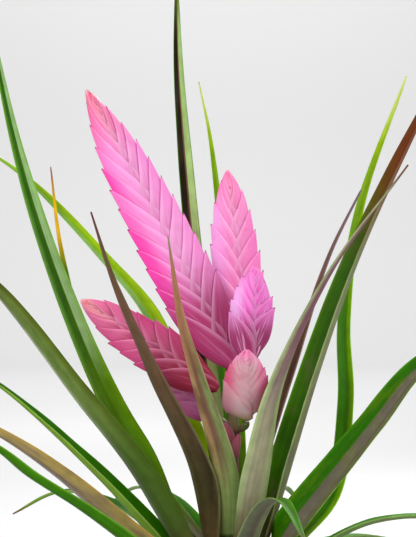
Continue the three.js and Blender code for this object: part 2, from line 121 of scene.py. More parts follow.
class Route:
    """A smooth line through points, measured along its own length."""

    STEPS = 40

    def __init__(self, points: list[Vector]) -> None:
        """Samples a centripetal Catmull-Rom curve through the points.

        Args:
            points: The points that the line passes, in millimetres.
        """
        ends = [2.0 * points[0] - points[1], *points, 2.0 * points[-1] - points[-2]]
        self.samples = [points[0]]
        for knots in zip(ends, ends[1:], ends[2:], ends[3:]):
            leave, arrive = self._slopes(*knots)
            start, end = knots[1], knots[2]
            span = interpolate_bezier(start, start + leave / 3.0, end - arrive / 3.0, end, self.STEPS)
            self.samples += span[1:]
        self.marks = [0.0]
        for a, b in zip(self.samples, self.samples[1:]):
            self.marks.append(self.marks[-1] + (b - a).length)

    @staticmethod
    def _slopes(before: Vector, start: Vector, end: Vector, after: Vector) -> tuple[Vector, Vector]:
        """Works out how a span leaves its start and arrives at its end.

        Args:
            before: The point before the span.
            start: The span's first point.
            end: The span's last point.
            after: The point after the span.

        Returns:
            The slopes at the start and at the end.
        """
        first, middle, last = (
            math.sqrt((b - a).length) for a, b in ((before, start), (start, end), (end, after)))
        leave = (start - before) / first - (end - before) / (first + middle) + (end - start) / middle
        arrive = (end - start) / middle - (after - start) / (middle + last) + (after - end) / last
        return leave * middle, arrive * middle

    @property
    def length(self) -> float:
        """The length of the whole line."""
        return self.marks[-1]

    def at(self, share: float) -> Vector:
        """Finds a point of the line.

        Args:
            share: How much of the length lies before it, from 0 to 1.

        Returns:
            The point.
        """
        mark = min(1.0, max(0.0, share)) * self.length
        k = min(bisect_right(self.marks, mark), len(self.marks) - 1)
        low, high = self.marks[k - 1], self.marks[k]
        return self.samples[k - 1].lerp(self.samples[k], (mark - low) / (high - low))

    def along(self, share: float, reach: float = 0.006) -> Vector:
        """Returns the direction of the line at a share of the length."""
        return (self.at(share + reach) - self.at(share - reach)).normalized()


def grid(
    columns: int, rows: int, rule: Rule, rolled: bool = False, tags: Mapping[str, Rule] | None = None
) -> bmesh.types.BMesh:
    """Makes a fine grid and moves each of its points by a rule.

    Args:
        columns: Faces across.
        rows: Faces along.
        rule: Gives a point for a share across and a share along, both from 0 to 1.
        rolled: True if the last column meets the first one, as round a tube.
        tags: For each attribute that the material reads, a rule that gives its vector.

    Returns:
        The mesh, with both shares in its UV map.
    """
    mesh = bmesh.new()
    bmesh.ops.create_grid(mesh, x_segments=columns, y_segments=rows, size=0.5)
    shares = mesh.loops.layers.uv.new(SHARES_MAP)
    layers = [(mesh.verts.layers.float_vector.new(name), tag) for name, tag in (tags or {}).items()]
    for face in mesh.faces:
        for loop in face.loops:
            loop[shares].uv = (loop.vert.co.x + 0.5, loop.vert.co.y + 0.5)
    for vert in mesh.verts:
        across, along = vert.co.x + 0.5, vert.co.y + 0.5
        for layer, tag in layers:
            vert[layer] = tag(across, along)
        vert.co = rule(across, along)
    if rolled:
        bmesh.ops.remove_doubles(mesh, verts=mesh.verts, dist=WELD)
        bmesh.ops.holes_fill(mesh, edges=[edge for edge in mesh.edges if edge.is_boundary], sides=0)
    return mesh


def tube(route: Route, radius: Callable[[float], float], sides: int, rows: int) -> bmesh.types.BMesh:
    """Makes a closed round tube along a route.

    Args:
        route: The tube's middle line.
        radius: Gives the radius for a share of the length.
        sides: Faces round it.
        rows: Faces along it.

    Returns:
        The mesh, with both ends closed.
    """
    start = route.along(0.0).orthogonal()

    def place(turn: float, share: float) -> Vector:
        """Returns the point at a share round the tube and a share along it."""
        along = route.along(share)
        side = (start - along * start.dot(along)).normalized()
        angle = 2.0 * math.pi * turn
        out = side * math.cos(angle) + along.cross(side) * math.sin(angle)
        return route.at(share) + out * radius(share)

    return grid(sides, rows, place, rolled=True)


def gather(parts: Iterable[bmesh.types.BMesh]) -> bmesh.types.BMesh:
    """Puts several meshes into one, side by side.

    Args:
        parts: The meshes, which are freed.

    Returns:
        The mesh that holds them all.
    """
    whole = bmesh.new()
    for part in parts:
        loose = bpy.data.meshes.new("loose")
        part.to_mesh(loose)
        part.free()
        whole.from_mesh(loose)
        bpy.data.meshes.remove(loose)
    return whole


def add_node(
    tree: bpy.types.NodeTree, kind: str, inputs: dict | None = None, **settings: object
) -> bpy.types.Node:
    """Adds a node with its settings, and fills or links its inputs.

    Args:
        tree: The material's node tree.
        kind: The node's type name.
        inputs: For each input, by name or number, a value or the socket that feeds it.
        **settings: The node's own properties.

    Returns:
        The new node.
    """
    node = tree.nodes.new(kind)
    for key, value in settings.items():
        setattr(node, key, value)
    for key, value in (inputs or {}).items():
        if isinstance(value, bpy.types.NodeSocket):
            tree.links.new(value, node.inputs[key])
        else:
            node.inputs[key].default_value = value
    return node


@dataclass(frozen=True)
class Tint:
    """A colour laid over those below it, more and more from one value to another."""

    colour: str
    value: bpy.types.NodeSocket
    start: float
    full: float
    most: float = 1.0


def paint(
    tree: bpy.types.NodeTree, base: str | bpy.types.NodeSocket, tints: Iterable[Tint]
) -> bpy.types.NodeSocket:
    """Lays tints over a base colour, one after the other.

    Args:
        tree: The material's node tree.
        base: The lowest colour, or the socket that brings it.
        tints: The tints, from the lowest to the uppermost.

    Returns:
        The socket with the finished colour.
    """
    below = linear(base) if isinstance(base, str) else base
    for tint in tints:
        share = add_node(
            tree, "ShaderNodeMapRange",
            {0: tint.value, 1: tint.start, 2: tint.full, 3: 0.0, 4: tint.most},
            interpolation_type=SMOOTH)
        mixed = add_node(
            tree, "ShaderNodeMix", {0: share.outputs[0], 6: below, 7: linear(tint.colour)},
            data_type="RGBA")
        below = mixed.outputs[2]
    return below


class Finish:
    """A real surface, with a material that is made once and then shared."""

    name: str

    def material(self) -> bpy.types.Material:
        """Finds the material, or makes it at the first call.

        Returns:
            The material.
        """
        known = bpy.data.materials.get(self.name)
        if known is not None:
            return known
        made = bpy.data.materials.new(self.name)
        made.use_nodes = True
        made.node_tree.nodes.clear()
        shader = self.shade(made.node_tree)
        add_node(made.node_tree, "ShaderNodeOutputMaterial", {"Surface": shader.outputs[0]})
        return made

    def shade(self, tree: bpy.types.NodeTree) -> bpy.types.Node:
        """Builds the nodes and returns the shader."""
        raise NotImplementedError


@dataclass(frozen=True)
class Side:
    """Colours of one side of a blade, from flank to flank.

    Left and right are those of someone who looks at the outer side with its tip up. Each
    flank's colour sets in at the start and is full at the full share of the half breadth,
    both counted from the centre, which is 0 at the midrib.
    """

    left: str
    middle: str
    right: str
    edge: str
    start: float = 0.0
    full: float = 0.7
    edge_share: float = 0.7
    centre: float = 0.0

    EDGE_SPAN = (0.82, 1.0)

    def paint(
        self, tree: bpy.types.NodeTree, across: bpy.types.NodeSocket, margin: bpy.types.NodeSocket
    ) -> bpy.types.NodeSocket:
        """Lays both flanks and the edge over the middle.

        Args:
            tree: The material's node tree.
            across: Place across the blade, from -1 to 1.
            margin: Distance from the midrib, from 0 to 1.

        Returns:
            The socket with the side's colours.
        """
        return paint(tree, self.middle, [
            Tint(self.left, across, self.centre - self.start, self.centre - self.full),
            Tint(self.right, across, self.centre + self.start, self.centre + self.full),
            Tint(self.edge, margin, *self.EDGE_SPAN, self.edge_share),
        ])


@dataclass(frozen=True)
class LeafSkin(Finish):
    """Living leaf skin: smooth waxy cuticle under a thin bloom of grey scales.

    It looks satin rather than glossy. Fine ribs run the whole length, the hollow inner side
    is purer green than the scaly outer side, and sun turns tips and outer sides purple brown.
    """

    name: str
    inner: Side
    outer: Side
    streak: str = "#6a5a52"
    streak_share: float = 0.3
    upper: str = "#6a4a4a"
    upper_span: tuple[float, float] = (0.6, 0.95)
    upper_share: float = 0.0
    lower: str = "#47690f"
    lower_span: tuple[float, float] = (0.48, 0.3)
    lower_share: float = 0.0
    rim: str = "#6c9c1c"
    rim_share: float = 0.0
    foot: str = "#5c4c34"
    foot_span: tuple[float, float] = (0.2, 0.04)
    tip: str = "#6a4438"
    tip_start: float = 0.88
    slot: Slot = Slot.LEAF_GREEN
    roughness: float = 0.42
    gloss: float = 0.1
    vividness: float = 1.12
    rib_pitch: float = 0.9

    # Patches to a millimetre across the blade, and their breadth as a share of their length:
    # threads 1.1 mm broad, and blotches 4.5 mm broad.
    GRAIN = (0.9, 0.02)
    BLOTCHES = (0.22, 0.25)
    # Clouds 6 mm across.
    MOTTLE = 0.16
    CLOUD_RANGE = (0.7, 1.3)
    SHADING = (0.8, 1.18)
    STREAK_SPAN = (0.48, 0.66)
    RIM_SPAN = (0.5, 0.95)
    FOOT_SHARE = 0.85
    RELIEF = 0.4
    RIB_WAVER = 0.5
    RIB_DEPTH = 0.08
    GRAIN_DEPTH = 0.12
    WAX_IOR = 1.45

    def shade(self, tree: bpy.types.NodeTree) -> bpy.types.Node:
        """Builds the leaf's colours, lengthwise ribs and satin gloss.

        Args:
            tree: The material's node tree.

        Returns:
            The shader.
        """
        blade = add_node(tree, "ShaderNodeAttribute", attribute_name=Leaf.TAG).outputs["Vector"]
        across, along, inner = add_node(tree, "ShaderNodeSeparateXYZ", {0: blade}).outputs
        margin = add_node(tree, "ShaderNodeMath", {0: across}, operation="ABSOLUTE").outputs[0]
        unrolled = add_node(tree, "ShaderNodeAttribute", attribute_name=Leaf.UNROLLED).outputs["Vector"]
        grain, blotch = (
            add_node(tree, "ShaderNodeTexNoise", {
                "Vector": add_node(
                    tree, "ShaderNodeMapping",
                    {"Vector": unrolled, "Scale": (1.0, drawn, 1.0)}).outputs[0],
                "Scale": scale / MM, "Detail": 3.0}).outputs[0]
            for scale, drawn in (self.GRAIN, self.BLOTCHES))
        mottle = add_node(
            tree, "ShaderNodeTexNoise",
            {"Vector": unrolled, "Scale": self.MOTTLE / MM, "Detail": 3.0}).outputs[0]
        sides = add_node(
            tree, "ShaderNodeMix",
            {0: inner, 6: self.outer.paint(tree, across, margin),
             7: self.inner.paint(tree, across, margin)},
            data_type="RGBA")
        colour = paint(tree, sides.outputs[2], [
            Tint(self.streak, blotch, *self.STREAK_SPAN, self.streak_share),
            Tint(self.upper, along, *self.upper_span, self.upper_share),
            Tint(self.lower, along, *self.lower_span, self.lower_share),
            Tint(self.rim, margin, *self.RIM_SPAN, self.rim_share),
            Tint(self.foot, along, *self.foot_span, self.FOOT_SHARE),
            Tint(self.tip, along, self.tip_start, 1.0),
        ])
        cloud = add_node(tree, "ShaderNodeMath", {0: grain, 1: mottle}, operation="ADD").outputs[0]
        value = add_node(
            tree, "ShaderNodeMapRange", dict(enumerate((cloud, *self.CLOUD_RANGE, *self.SHADING))))
        body = add_node(
            tree, "ShaderNodeHueSaturation",
            {"Color": colour, "Value": value.outputs[0], "Saturation": self.vividness})
        # Real ribs stand about 0.4 mm apart, too fine to show here, so they are drawn at 0.9 mm.
        ribs = add_node(
            tree, "ShaderNodeTexWave",
            {"Vector": unrolled, "Scale": BAND_UNIT / (self.rib_pitch * MM),
             "Distortion": self.RIB_WAVER},
            bands_direction="X")
        ribbed = add_node(
            tree, "ShaderNodeBump",
            {"Height": ribs.outputs[1], "Strength": self.RELIEF, "Distance": self.RIB_DEPTH * MM})
        relief = add_node(
            tree, "ShaderNodeBump",
            {"Height": grain, "Strength": self.RELIEF, "Distance": self.GRAIN_DEPTH * MM,
             "Normal": ribbed.outputs[0]})
        return add_node(
            tree, "ShaderNodeBsdfPrincipled",
            {"Base Color": body.outputs[0], "Normal": relief.outputs[0], "Roughness": self.roughness,
             "IOR": self.WAX_IOR, "Specular IOR Level": self.gloss})


@dataclass(frozen=True)
class BractSkin(Finish):
    """Living bract: thin firm petal-like scale with a soft waxy skin.

    It is saturated pink at the paddle's edges and pales towards the middle, with fine veins
    that meet in the point. Light enters it a little, so its shadows stay warm. Left and right
    are those of someone who looks at the paddle's face with its tip up.
    """

    name: str
    middle: str = "#ffa8e4"
    left: str = "#ff44b0"
    right: str = "#ff8cda"
    # Deep pink: painted shade where the bract below overlaps each bract's foot, and also random darker
    # clouds.
    deep: str = "#d93f94"
    overlap_shade_share: float = 0.35
    point: str = "#f4649c"
    heart: str = "#f4a890"
    heart_share: float = 0.25
    foot: str = "#b83a78"
    foot_span: tuple[float, float] = (0.34, 0.02)
    margin: str = "#ffc4ea"
    margin_share: float = 0.35
    streak_share: float = 0.15
    tooth: str = "#a83c6c"

    # Where each tint sets in and where it is full, on the scale of the value that it follows.
    LEFT_SPAN = (0.05, 0.8)
    RIGHT_SPAN = (-0.05, -0.75)
    # Painted shade under the overlapping bract: it sets in at 0.72 of each bract's length and is full
    # from 0.42 down.
    OVERLAP_SHADE_SPAN = (0.72, 0.42)
    CLOUD_SPAN = (0.54, 0.78)
    PALE_SPAN = (0.45, 0.9)
    POINT_SPAN = (0.74, 0.98)
    HEART_SPAN = (0.64, 0.86)
    STREAK_SPAN = (0.5, 0.68)
    MARGIN_SPAN = (0.84, 1.0)
    TOOTH_SPAN = (0.955, 1.0)
    CLOUD_SHARE = 0.35
    PALE_SHARE = 0.45
    FOOT_SHARE = 0.9
    OFF_AXIS = 0.82
    # Real veins are some 0.3 mm apart, too fine to show here, so about 22 run up each bract.
    VEINS = (22.0, 1.2, 1.0)
    # Clouds 8 mm across.
    CLOUDS = 0.13
    VEIN_RANGE = (0.3, 0.7)
    SHADING = (0.95, 1.04)
    RELIEF = 0.2
    VEIN_DEPTH = 0.08
    SCATTERED = 0.2
    SCATTER = (1.0, 0.3, 0.5)
    SCATTER_REACH = 1.2
    ROUGHNESS = 0.4
    CELL_IOR = 1.42
    GLOSS = 0.25

    def shade(self, tree: bpy.types.NodeTree) -> bpy.types.Node:
        """Builds the paddle's colours, the bracts' veins and their soft gloss.

        Args:
            tree: The material's node tree.

        Returns:
            The shader.
        """
        paddle = add_node(tree, "ShaderNodeAttribute", attribute_name=Paddle.TAG).outputs["Vector"]
        across, along, chance = add_node(tree, "ShaderNodeSeparateXYZ", {0: paddle}).outputs
        bract = add_node(tree, "ShaderNodeUVMap", uv_map=SHARES_MAP).outputs[0]
        fold, share, _ = add_node(tree, "ShaderNodeSeparateXYZ", {0: bract}).outputs
        # 0 along the keel and 1 along both margins.
        centred = add_node(tree, "ShaderNodeMath", {0: fold, 1: 0.5}, operation="SUBTRACT").outputs[0]
        halved = add_node(tree, "ShaderNodeMath", {0: centred}, operation="ABSOLUTE").outputs[0]
        offset = add_node(tree, "ShaderNodeMath", {0: halved, 1: 2.0}, operation="MULTIPLY").outputs[0]
        middle = add_node(tree, "ShaderNodeMath", {0: across}, operation="ABSOLUTE").outputs[0]
        heart = add_node(tree, "ShaderNodeMath", {0: along, 1: middle}, operation="SUBTRACT").outputs[0]
        # Points close to the axis, at the paddle's tip, stay pink.
        off_axis = add_node(
            tree, "ShaderNodeMath", {0: middle, 1: self.OFF_AXIS}, operation="ADD").outputs[0]
        sharp = add_node(tree, "ShaderNodeMath", {0: share, 1: off_axis}, operation="MINIMUM").outputs[0]
        drawn = add_node(tree, "ShaderNodeMapping", {"Vector": bract, "Scale": self.VEINS}).outputs[0]
        veins = add_node(
            tree, "ShaderNodeTexNoise", {"Vector": drawn, "Scale": 1.0, "Detail": 2.0}).outputs[0]
        place = add_node(tree, "ShaderNodeTexCoord").outputs["Object"]
        clouds = add_node(
            tree, "ShaderNodeTexNoise",
            {"Vector": place, "Scale": self.CLOUDS / MM, "Detail": 2.0}).outputs[0]
        colour = paint(tree, self.middle, [
            Tint(self.left, across, *self.LEFT_SPAN),
            Tint(self.right, across, *self.RIGHT_SPAN),
            # Painted shade: each bract darkens towards its foot, where the one below overlaps it.
            Tint(self.deep, share, *self.OVERLAP_SHADE_SPAN, self.overlap_shade_share),
            Tint(self.deep, clouds, *self.CLOUD_SPAN, self.CLOUD_SHARE),
            Tint(self.middle, chance, *self.PALE_SPAN, self.PALE_SHARE),
            Tint(self.point, along, *self.POINT_SPAN),
            Tint(self.heart, heart, *self.HEART_SPAN, self.heart_share),
            Tint(self.foot, along, *self.foot_span, self.FOOT_SHARE),
            Tint(self.margin, veins, *self.STREAK_SPAN, self.streak_share),
            Tint(self.margin, offset, *self.MARGIN_SPAN, self.margin_share),
            Tint(self.tooth, sharp, *self.TOOTH_SPAN),
        ])
        value = add_node(
            tree, "ShaderNodeMapRange", dict(enumerate((veins, *self.VEIN_RANGE, *self.SHADING))))
        body = add_node(tree, "ShaderNodeHueSaturation", {"Color": colour, "Value": value.outputs[0]})
        relief = add_node(
            tree, "ShaderNodeBump",
            {"Height": veins, "Strength": self.RELIEF, "Distance": self.VEIN_DEPTH * MM})
        return add_node(
            tree, "ShaderNodeBsdfPrincipled",
            {"Base Color": body.outputs[0], "Normal": relief.outputs[0], "Roughness": self.ROUGHNESS,
             "IOR": self.CELL_IOR, "Subsurface Weight": self.SCATTERED,
             "Subsurface Radius": self.SCATTER, "Subsurface Scale": self.SCATTER_REACH * MM,
             "Specular IOR Level": self.GLOSS})


@dataclass(frozen=True)
class Fibre(Finish):
    """Living or dry stem tissue: dull threads that run lengthwise, flushed or flecked in patches."""

    name: str
    base: str
    fleck: str
    thread: float
    drawn: float = 0.12
    span: tuple[float, float] = (0.45, 0.7)
    depth: float = 0.4
    roughness: float = 0.88

    RELIEF = 0.8

    def shade(self, tree: bpy.types.NodeTree) -> bpy.types.Node:
        """Builds threads in two colours, drawn out upwards, with a relief.

        Args:
            tree: The material's node tree.

        Returns:
            The shader.
        """
        place = add_node(tree, "ShaderNodeTexCoord").outputs["Object"]
        drawn = add_node(tree, "ShaderNodeMapping", {"Vector": place, "Scale": (1.0, 1.0, self.drawn)})
        threads = add_node(
            tree, "ShaderNodeTexNoise",
            {"Vector": drawn.outputs[0], "Scale": 1.0 / (self.thread * MM), "Detail": 4.0}).outputs[0]
        colour = paint(tree, self.base, [Tint(self.fleck, threads, *self.span)])
        relief = add_node(
            tree, "ShaderNodeBump",
            {"Height": threads, "Strength": self.RELIEF, "Distance": self.depth * MM})
        return add_node(
            tree, "ShaderNodeBsdfPrincipled",
            {"Base Color": colour, "Normal": relief.outputs[0], "Roughness": self.roughness})


@dataclass(frozen=True)
class Paper(Finish):
    """Seamless studio paper: matt and even, with no visible tooth."""

    name: str
    tone: str
    roughness: float = 0.95

    def shade(self, tree: bpy.types.NodeTree) -> bpy.types.Node:
        """Builds plain matt paper."""
        return add_node(
            tree, "ShaderNodeBsdfPrincipled",
            {"Base Color": linear(self.tone), "Roughness": self.roughness})


def finished(name: str, mesh: bmesh.types.BMesh, finish: Finish) -> bpy.types.Object:
    """Turns a mesh in millimetres into a smooth object in metres at the origin.

    Args:
        name: Name of the object.
        mesh: The mesh in millimetres, which is freed.
        finish: What the object is covered with.

    Returns:
        The new object.
    """
    bmesh.ops.scale(mesh, vec=(MM, MM, MM), verts=mesh.verts)
    for face in mesh.faces:
        face.smooth = True
    data = bpy.data.meshes.new(name)
    mesh.to_mesh(data)
    mesh.free()
    made = bpy.data.objects.new(name, data)
    bpy.context.scene.collection.objects.link(made)
    data.materials.append(finish.material())
    return made


def piece(name: str, mesh: bmesh.types.BMesh, finish: Finish, node: str, slot: Slot) -> bpy.types.Object:
    """Makes a finished piece that stands for a CAD node.

    Args:
        name: Name of the piece.
        mesh: The mesh in millimetres, which is freed.
        finish: What the piece is covered with.
        node: The CAD node that the piece replaces.
        slot: The record's material slot; not used.

    Returns:
        The new object, at the origin.
    """
    bmesh.ops.recalc_face_normals(mesh, faces=mesh.faces)
    made = finished(name, mesh, finish)
    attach(made, BODY)
    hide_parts(node)
    log.info("%s stands for %s with %d faces", name, node, len(made.data.polygons))
    return made


@dataclass(frozen=True)
class CrownSizes:
    """Outline of the woody crown and of its wiry roots, in millimetres."""

    profile: tuple[tuple[float, float], ...] = (
        (0, 0), (10.5, 0), (12, 2), (11.6, 10), (9.2, 26), (5.6, 42), (3.4, 47), (0, 48))
    roots: int = 8
    root_start: tuple[float, float] = (8, 3.2)
    root_middle: tuple[float, float] = (15, 2.4)
    root_tip_height: float = 1.15
    root_reaches: tuple[float, float] = (19, 31)
    root_scatter: float = 0.3
    root_bend: float = 0.35
    root_radii: tuple[float, float] = (1.0, 0.5)
    root_knots: float = 0.12

    def radius(self, height: float) -> float:
        """Finds how thick the crown is.

        Args:
            height: Height above its sole.

        Returns:
            The radius of its side there, and 0 above its top.
        """
        for (r0, z0), (r1, z1) in zip(self.profile[1:], self.profile[2:]):
            if height <= z1:
                return lerp(r0, r1, (height - z0) / (z1 - z0))
        return 0.0


CROWN = CrownSizes()


@dataclass
class Leaf:
    """A strap leaf: a channelled blade along its midrib that tapers to a thread.

    The seat is the azimuth and height of its root on the crown. The face is the azimuth that
    its outer side looks to, the turn is its twist from root to tip, and the fold is the depth
    of its channel as a share of its half breadth.
    """

    name: str
    seat: tuple[float, float]
    route: list[Point]
    face: float
    skin: LeafSkin
    width: float
    taper: float
    turn: float = 0.0
    fold: float = 0.5
    line: Route = field(init=False)

    TAG = "blade"
    UNROLLED = "unrolled"
    COLUMNS = 44
    ROWS = 72
    SEAT_GAP = 0.5
    MID_THICKNESS = 1.3
    EDGE_POWER = 0.6
    TIP_WIDTH = 0.5
    TIP_THICKNESS = 0.7
    SHEATH_SHARE = 0.22
    SHEATH_BREADTH = (1.2, 0.72)
    SHEATH_WIDTH_LIMIT = 13.5
    SHEATH_FOLD = 0.5
    HIGHEST_SEAT = 42.0
    CHANNEL_ROUNDING = (1.0, 0.2)
    BREADTH_WOBBLE = 0.025
    BREADTH_SWELLS = 9.0
    MARGIN_WAVE = 0.22
    MARGIN_SWELLS = 7.0
    FLANK_SPAN = (0.48, 0.52)

    def __post_init__(self) -> None:
        """Draws the midrib from the seat on the crown through the leaf's own points."""
        azimuth, height = self.seat
        angle = math.radians(azimuth)
        radius = CROWN.radius(height) + self.SEAT_GAP + self.MID_THICKNESS / 2.0
        seat = Vector((radius * math.cos(angle), radius * math.sin(angle), height))
        self.line = Route([seat, *map(Vector, self.route)])

    @property
    def seed(self) -> int:
        """The number that sets this leaf's small irregularities."""
        return sum(ord(letter) for letter in self.name) % 97

    def section(self, s: float) -> tuple[Vector, Vector, float, float]:
        """Works out the blade's section.

        Args:
            s: Share of the length from the seat.

        Returns:
            The middle, the direction across, the half breadth, and how much it is blade
            rather than sheath.
        """
        along = self.line.along(s)
        blade = smoothstep(s, 0.0, self.SHEATH_SHARE)
        facing = math.radians(lerp(self.seat[0], self.face, blade) + self.turn * smoothstep(s, 0.0, 1.0))
        across = Vector((-math.sin(facing), math.cos(facing), 0.0))
        across = (across - along * across.dot(along)).normalized()
        breadth = lerp(*self.SHEATH_BREADTH, self.seat[1] / self.HIGHEST_SEAT)
        sheath = breadth * min(self.width, self.SHEATH_WIDTH_LIMIT)
        foot = lerp(sheath, self.width, blade)
        half = (self.TIP_WIDTH + (foot - self.TIP_WIDTH) * (1.0 - s) ** self.taper) / 2.0
        uneven = wobble(self.seed, s, self.BREADTH_SWELLS) * smoothstep(s, 0.1, 0.4)
        half *= 1.0 + self.BREADTH_WOBBLE * uneven
        return self.line.at(s), across, half, blade

    def place(self, turn: float, s: float) -> Vector:
        """Finds a point of the blade's skin.

        Args:
            turn: Share of the way round the section, over the outer side first.
            s: Share of the length from the seat.

        Returns:
            The point.
        """
        middle, across, half, blade = self.section(s)
        inward = self.line.along(s).cross(across)
        angle = 2.0 * math.pi * turn
        u, side = -math.cos(angle), -math.sin(angle)
        rounding = lerp(*self.CHANNEL_ROUNDING, blade)
        rise = lerp(self.SHEATH_FOLD, self.fold, blade) * half * (math.hypot(u, rounding) - rounding)
        wave = wobble(self.seed + 3.0, s, self.MARGIN_SWELLS) * smoothstep(s, 0.15, 0.5)
        rise += self.MARGIN_WAVE * u * abs(u) * wave
        thin = lerp(1.0, self.TIP_THICKNESS / self.MID_THICKNESS, s)
        thickness = self.MID_THICKNESS * thin * abs(side) ** self.EDGE_POWER
        return middle + across * (u * half) + inward * (rise + math.copysign(thickness / 2.0, side))

    def build(self) -> bpy.types.Object:
        """Makes the leaf and returns it.

        Its skin reads, of each point, the share across, the share along and which side it is
        on, and the same two in metres as if the blade lay flat.
        """
        half, length, seed = self.width / 2.0, self.line.length, self.seed
        tags = {
            self.TAG: lambda turn, s: Vector(
                (-math.cos(2.0 * math.pi * turn), s, smoothstep(turn, *self.FLANK_SPAN))),
            self.UNROLLED: lambda turn, s: Vector(
                (-math.cos(2.0 * math.pi * turn) * half, s * length, seed)) * MM,
        }
        mesh = grid(self.COLUMNS, self.ROWS, self.place, rolled=True, tags=tags)
        return piece(f"{self.name}_blade", mesh, self.skin, self.name, self.skin.slot)


@dataclass
class Paddle:
    """A flat flower paddle: two ranks of keeled bracts that overlap along one axis.

    Full-grown bracts follow one another up the axis. Younger and shorter ones close the tip.
    The face is the azimuth that its flat side looks to, the reach is its half breadth, the
    pairs are the bracts on each side, and the looseness is how far single points stray. The
    sweep keeps the margins near the axis, and the swing fills out the foot of each bract.
    """

    name: str
    foot: float
    base: Point
    tip: Point
    face: float
    reach: float
    bract_length: float
    pairs: int
    skin: BractSkin
    looseness: float = 0.3
    sweep: float = 1.1
    swing: float = 2.6

    TAG = "paddle"
    COLUMNS = 24
    ROWS = 18
    CORE_COLUMNS = 20
    CORE_ROWS = 28
    SHELL = 0.22
    YOUNGEST = 7.0
    FIRST_BRACT = 2.0
    CLOSING = 0.98
    POINT_SHARE = 0.22
    KEEL_START = 1.35
    TOOTH_LENGTH = 0.9
    TOOTH_SHARPNESS = 5.0
    MARGIN_WRAP = 0.3
    MARGIN_TURN = 0.2
    MARGIN_END = 0.985
    MARGIN_STRAY = 0.05
    MARGIN_SWELLS = 2.0
    MARGIN_LIFT = 0.15
    LENGTH_STRAY = 0.05
    LIFT = 0.055
    FULL_REACH = 7.0
    ROUNDING = 2.2
    CORE_SHARE = 0.9
    CORE_OPENING = 0.4
    CORE_CLOSING = 24
    CORE_THICKNESS = 1.5
    CORE_FLATNESS = 0.42
    CORE_LEAST = 0.05

    @property
    def length(self) -> float:
        """The length of the paddle's axis."""
        return (Vector(self.tip) - Vector(self.base)).length

    def reach_at(self, height: float) -> float:
        """Returns the half breadth at a height: a lance that closes to its tip."""
        return self.reach * (
            1.0 - self.CLOSING * math.exp((height - self.length) / (self.POINT_SHARE * self.length)))

    def stand(self) -> Matrix:
        """Works out where the paddle stands on the plant.

        Returns:
            The turn and move from its own frame, where z runs up its axis and y is its face.
        """
        axis = (Vector(self.tip) - Vector(self.base)).normalized()
        angle = math.radians(self.face)
        normal = Vector((math.cos(angle), math.sin(angle), 0.0))
        normal = (normal - axis * normal.dot(axis)).normalized()
        turned = Matrix((normal.cross(axis), normal, axis)).transposed().to_4x4()
        return Matrix.Translation(Vector(self.base)) @ turned

    def shares(self, point: Vector, chance: float) -> Vector:
        """Returns where a point of the paddle's own frame lies across and along it, and a chance."""
        return Vector((point.x / self.reach, point.z / self.length, chance))

    def bract(self, side: int, start: float, seed: int) -> bmesh.types.BMesh:
        """Makes one bract as a thin folded shell.

        Args:
            side: 1 for a bract on the left of someone who looks at the face, -1 on the right.
            start: Height of its foot above the paddle's base.
            seed: Which small irregularities it has.

        Returns:
            The shell, in the paddle's own frame.
        """
        stray = self.looseness * wobble(seed, 0.5, 1.0)
        chance = 0.5 + 0.5 * wobble(seed, 2.5, 1.3)
        span = min(self.bract_length, self.length - start)
        span *= 1.0 - self.LENGTH_STRAY * self.looseness * abs(wobble(seed, 4.5, 1.0))

        def place(fold: float, t: float) -> Vector:
            """Returns the point at a share from margin to margin and a share up the bract."""
            z = start + span * t
            reach = self.reach_at(z)
            fullness = min(1.0, reach / self.FULL_REACH)
            tooth = self.TOOTH_LENGTH * t ** self.TOOTH_SHARPNESS * (1.0 + stray) * fullness
            keel = self.KEEL_START + (reach - self.KEEL_START) * (1.0 - (1.0 - t) ** self.swing) + tooth
            wrap = -min(self.MARGIN_WRAP * reach, keel)
            sweep = max(0.0, (t - self.MARGIN_TURN) / (1.0 - self.MARGIN_TURN)) ** self.sweep
            stray_margin = math.sin(math.pi * sweep) * wobble(seed, t, self.MARGIN_SWELLS)
            sweep = min(1.0, max(0.0, sweep + self.MARGIN_STRAY * stray_margin))
            margin = lerp(wrap, self.MARGIN_END * keel, sweep)
            cheek = 1.0 - abs(2.0 * fold - 1.0)
            x = lerp(margin, keel, math.sin(cheek * math.pi / 2.0))
            height = self.KEEL_START + self.LIFT * span * t * fullness
            y = height * max(0.0, 1.0 - max(0.0, x / keel) ** self.ROUNDING)
            free = smoothstep(1.0 - cheek, 0.75, 1.0) * smoothstep(t, 0.2, 0.6)
            y += self.MARGIN_LIFT * free * (1.0 - t)
            return Vector((side * x, math.copysign(y, fold - 0.5), z))

        tags = {self.TAG: lambda fold, t: self.shares(place(fold, t), chance)}
        mesh = grid(self.COLUMNS, self.ROWS, place, tags=tags)
        if side > 0:
            bmesh.ops.reverse_faces(mesh, faces=mesh.faces)
        bmesh.ops.solidify(mesh, geom=mesh.faces, thickness=self.SHELL)
        return mesh

    def core(self) -> bmesh.types.BMesh:
        """Makes the slim heart of young bracts under the outer ones.

        Returns:
            The closed mesh, in the paddle's own frame.
        """
        span = self.length - self.FIRST_BRACT

        def place(turn: float, t: float) -> Vector:
            """Returns the point at a share round the heart and a share up it."""
            z = self.FIRST_BRACT + span * t
            opening = 1.0 - math.exp(-z / (self.CORE_OPENING * self.bract_length))
            closing = 1.0 - t ** self.CORE_CLOSING
            half = max(self.CORE_LEAST, self.CORE_SHARE * opening * closing * self.reach_at(z))
            angle = 2.0 * math.pi * turn
            thick = min(self.CORE_THICKNESS, self.CORE_FLATNESS * half + self.CORE_LEAST)
            return Vector((half * math.cos(angle), thick * math.sin(angle), z))

        tags = {self.TAG: lambda turn, t: self.shares(place(turn, t), 0.0)}
        return grid(self.CORE_COLUMNS, self.CORE_ROWS, place, rolled=True, tags=tags)

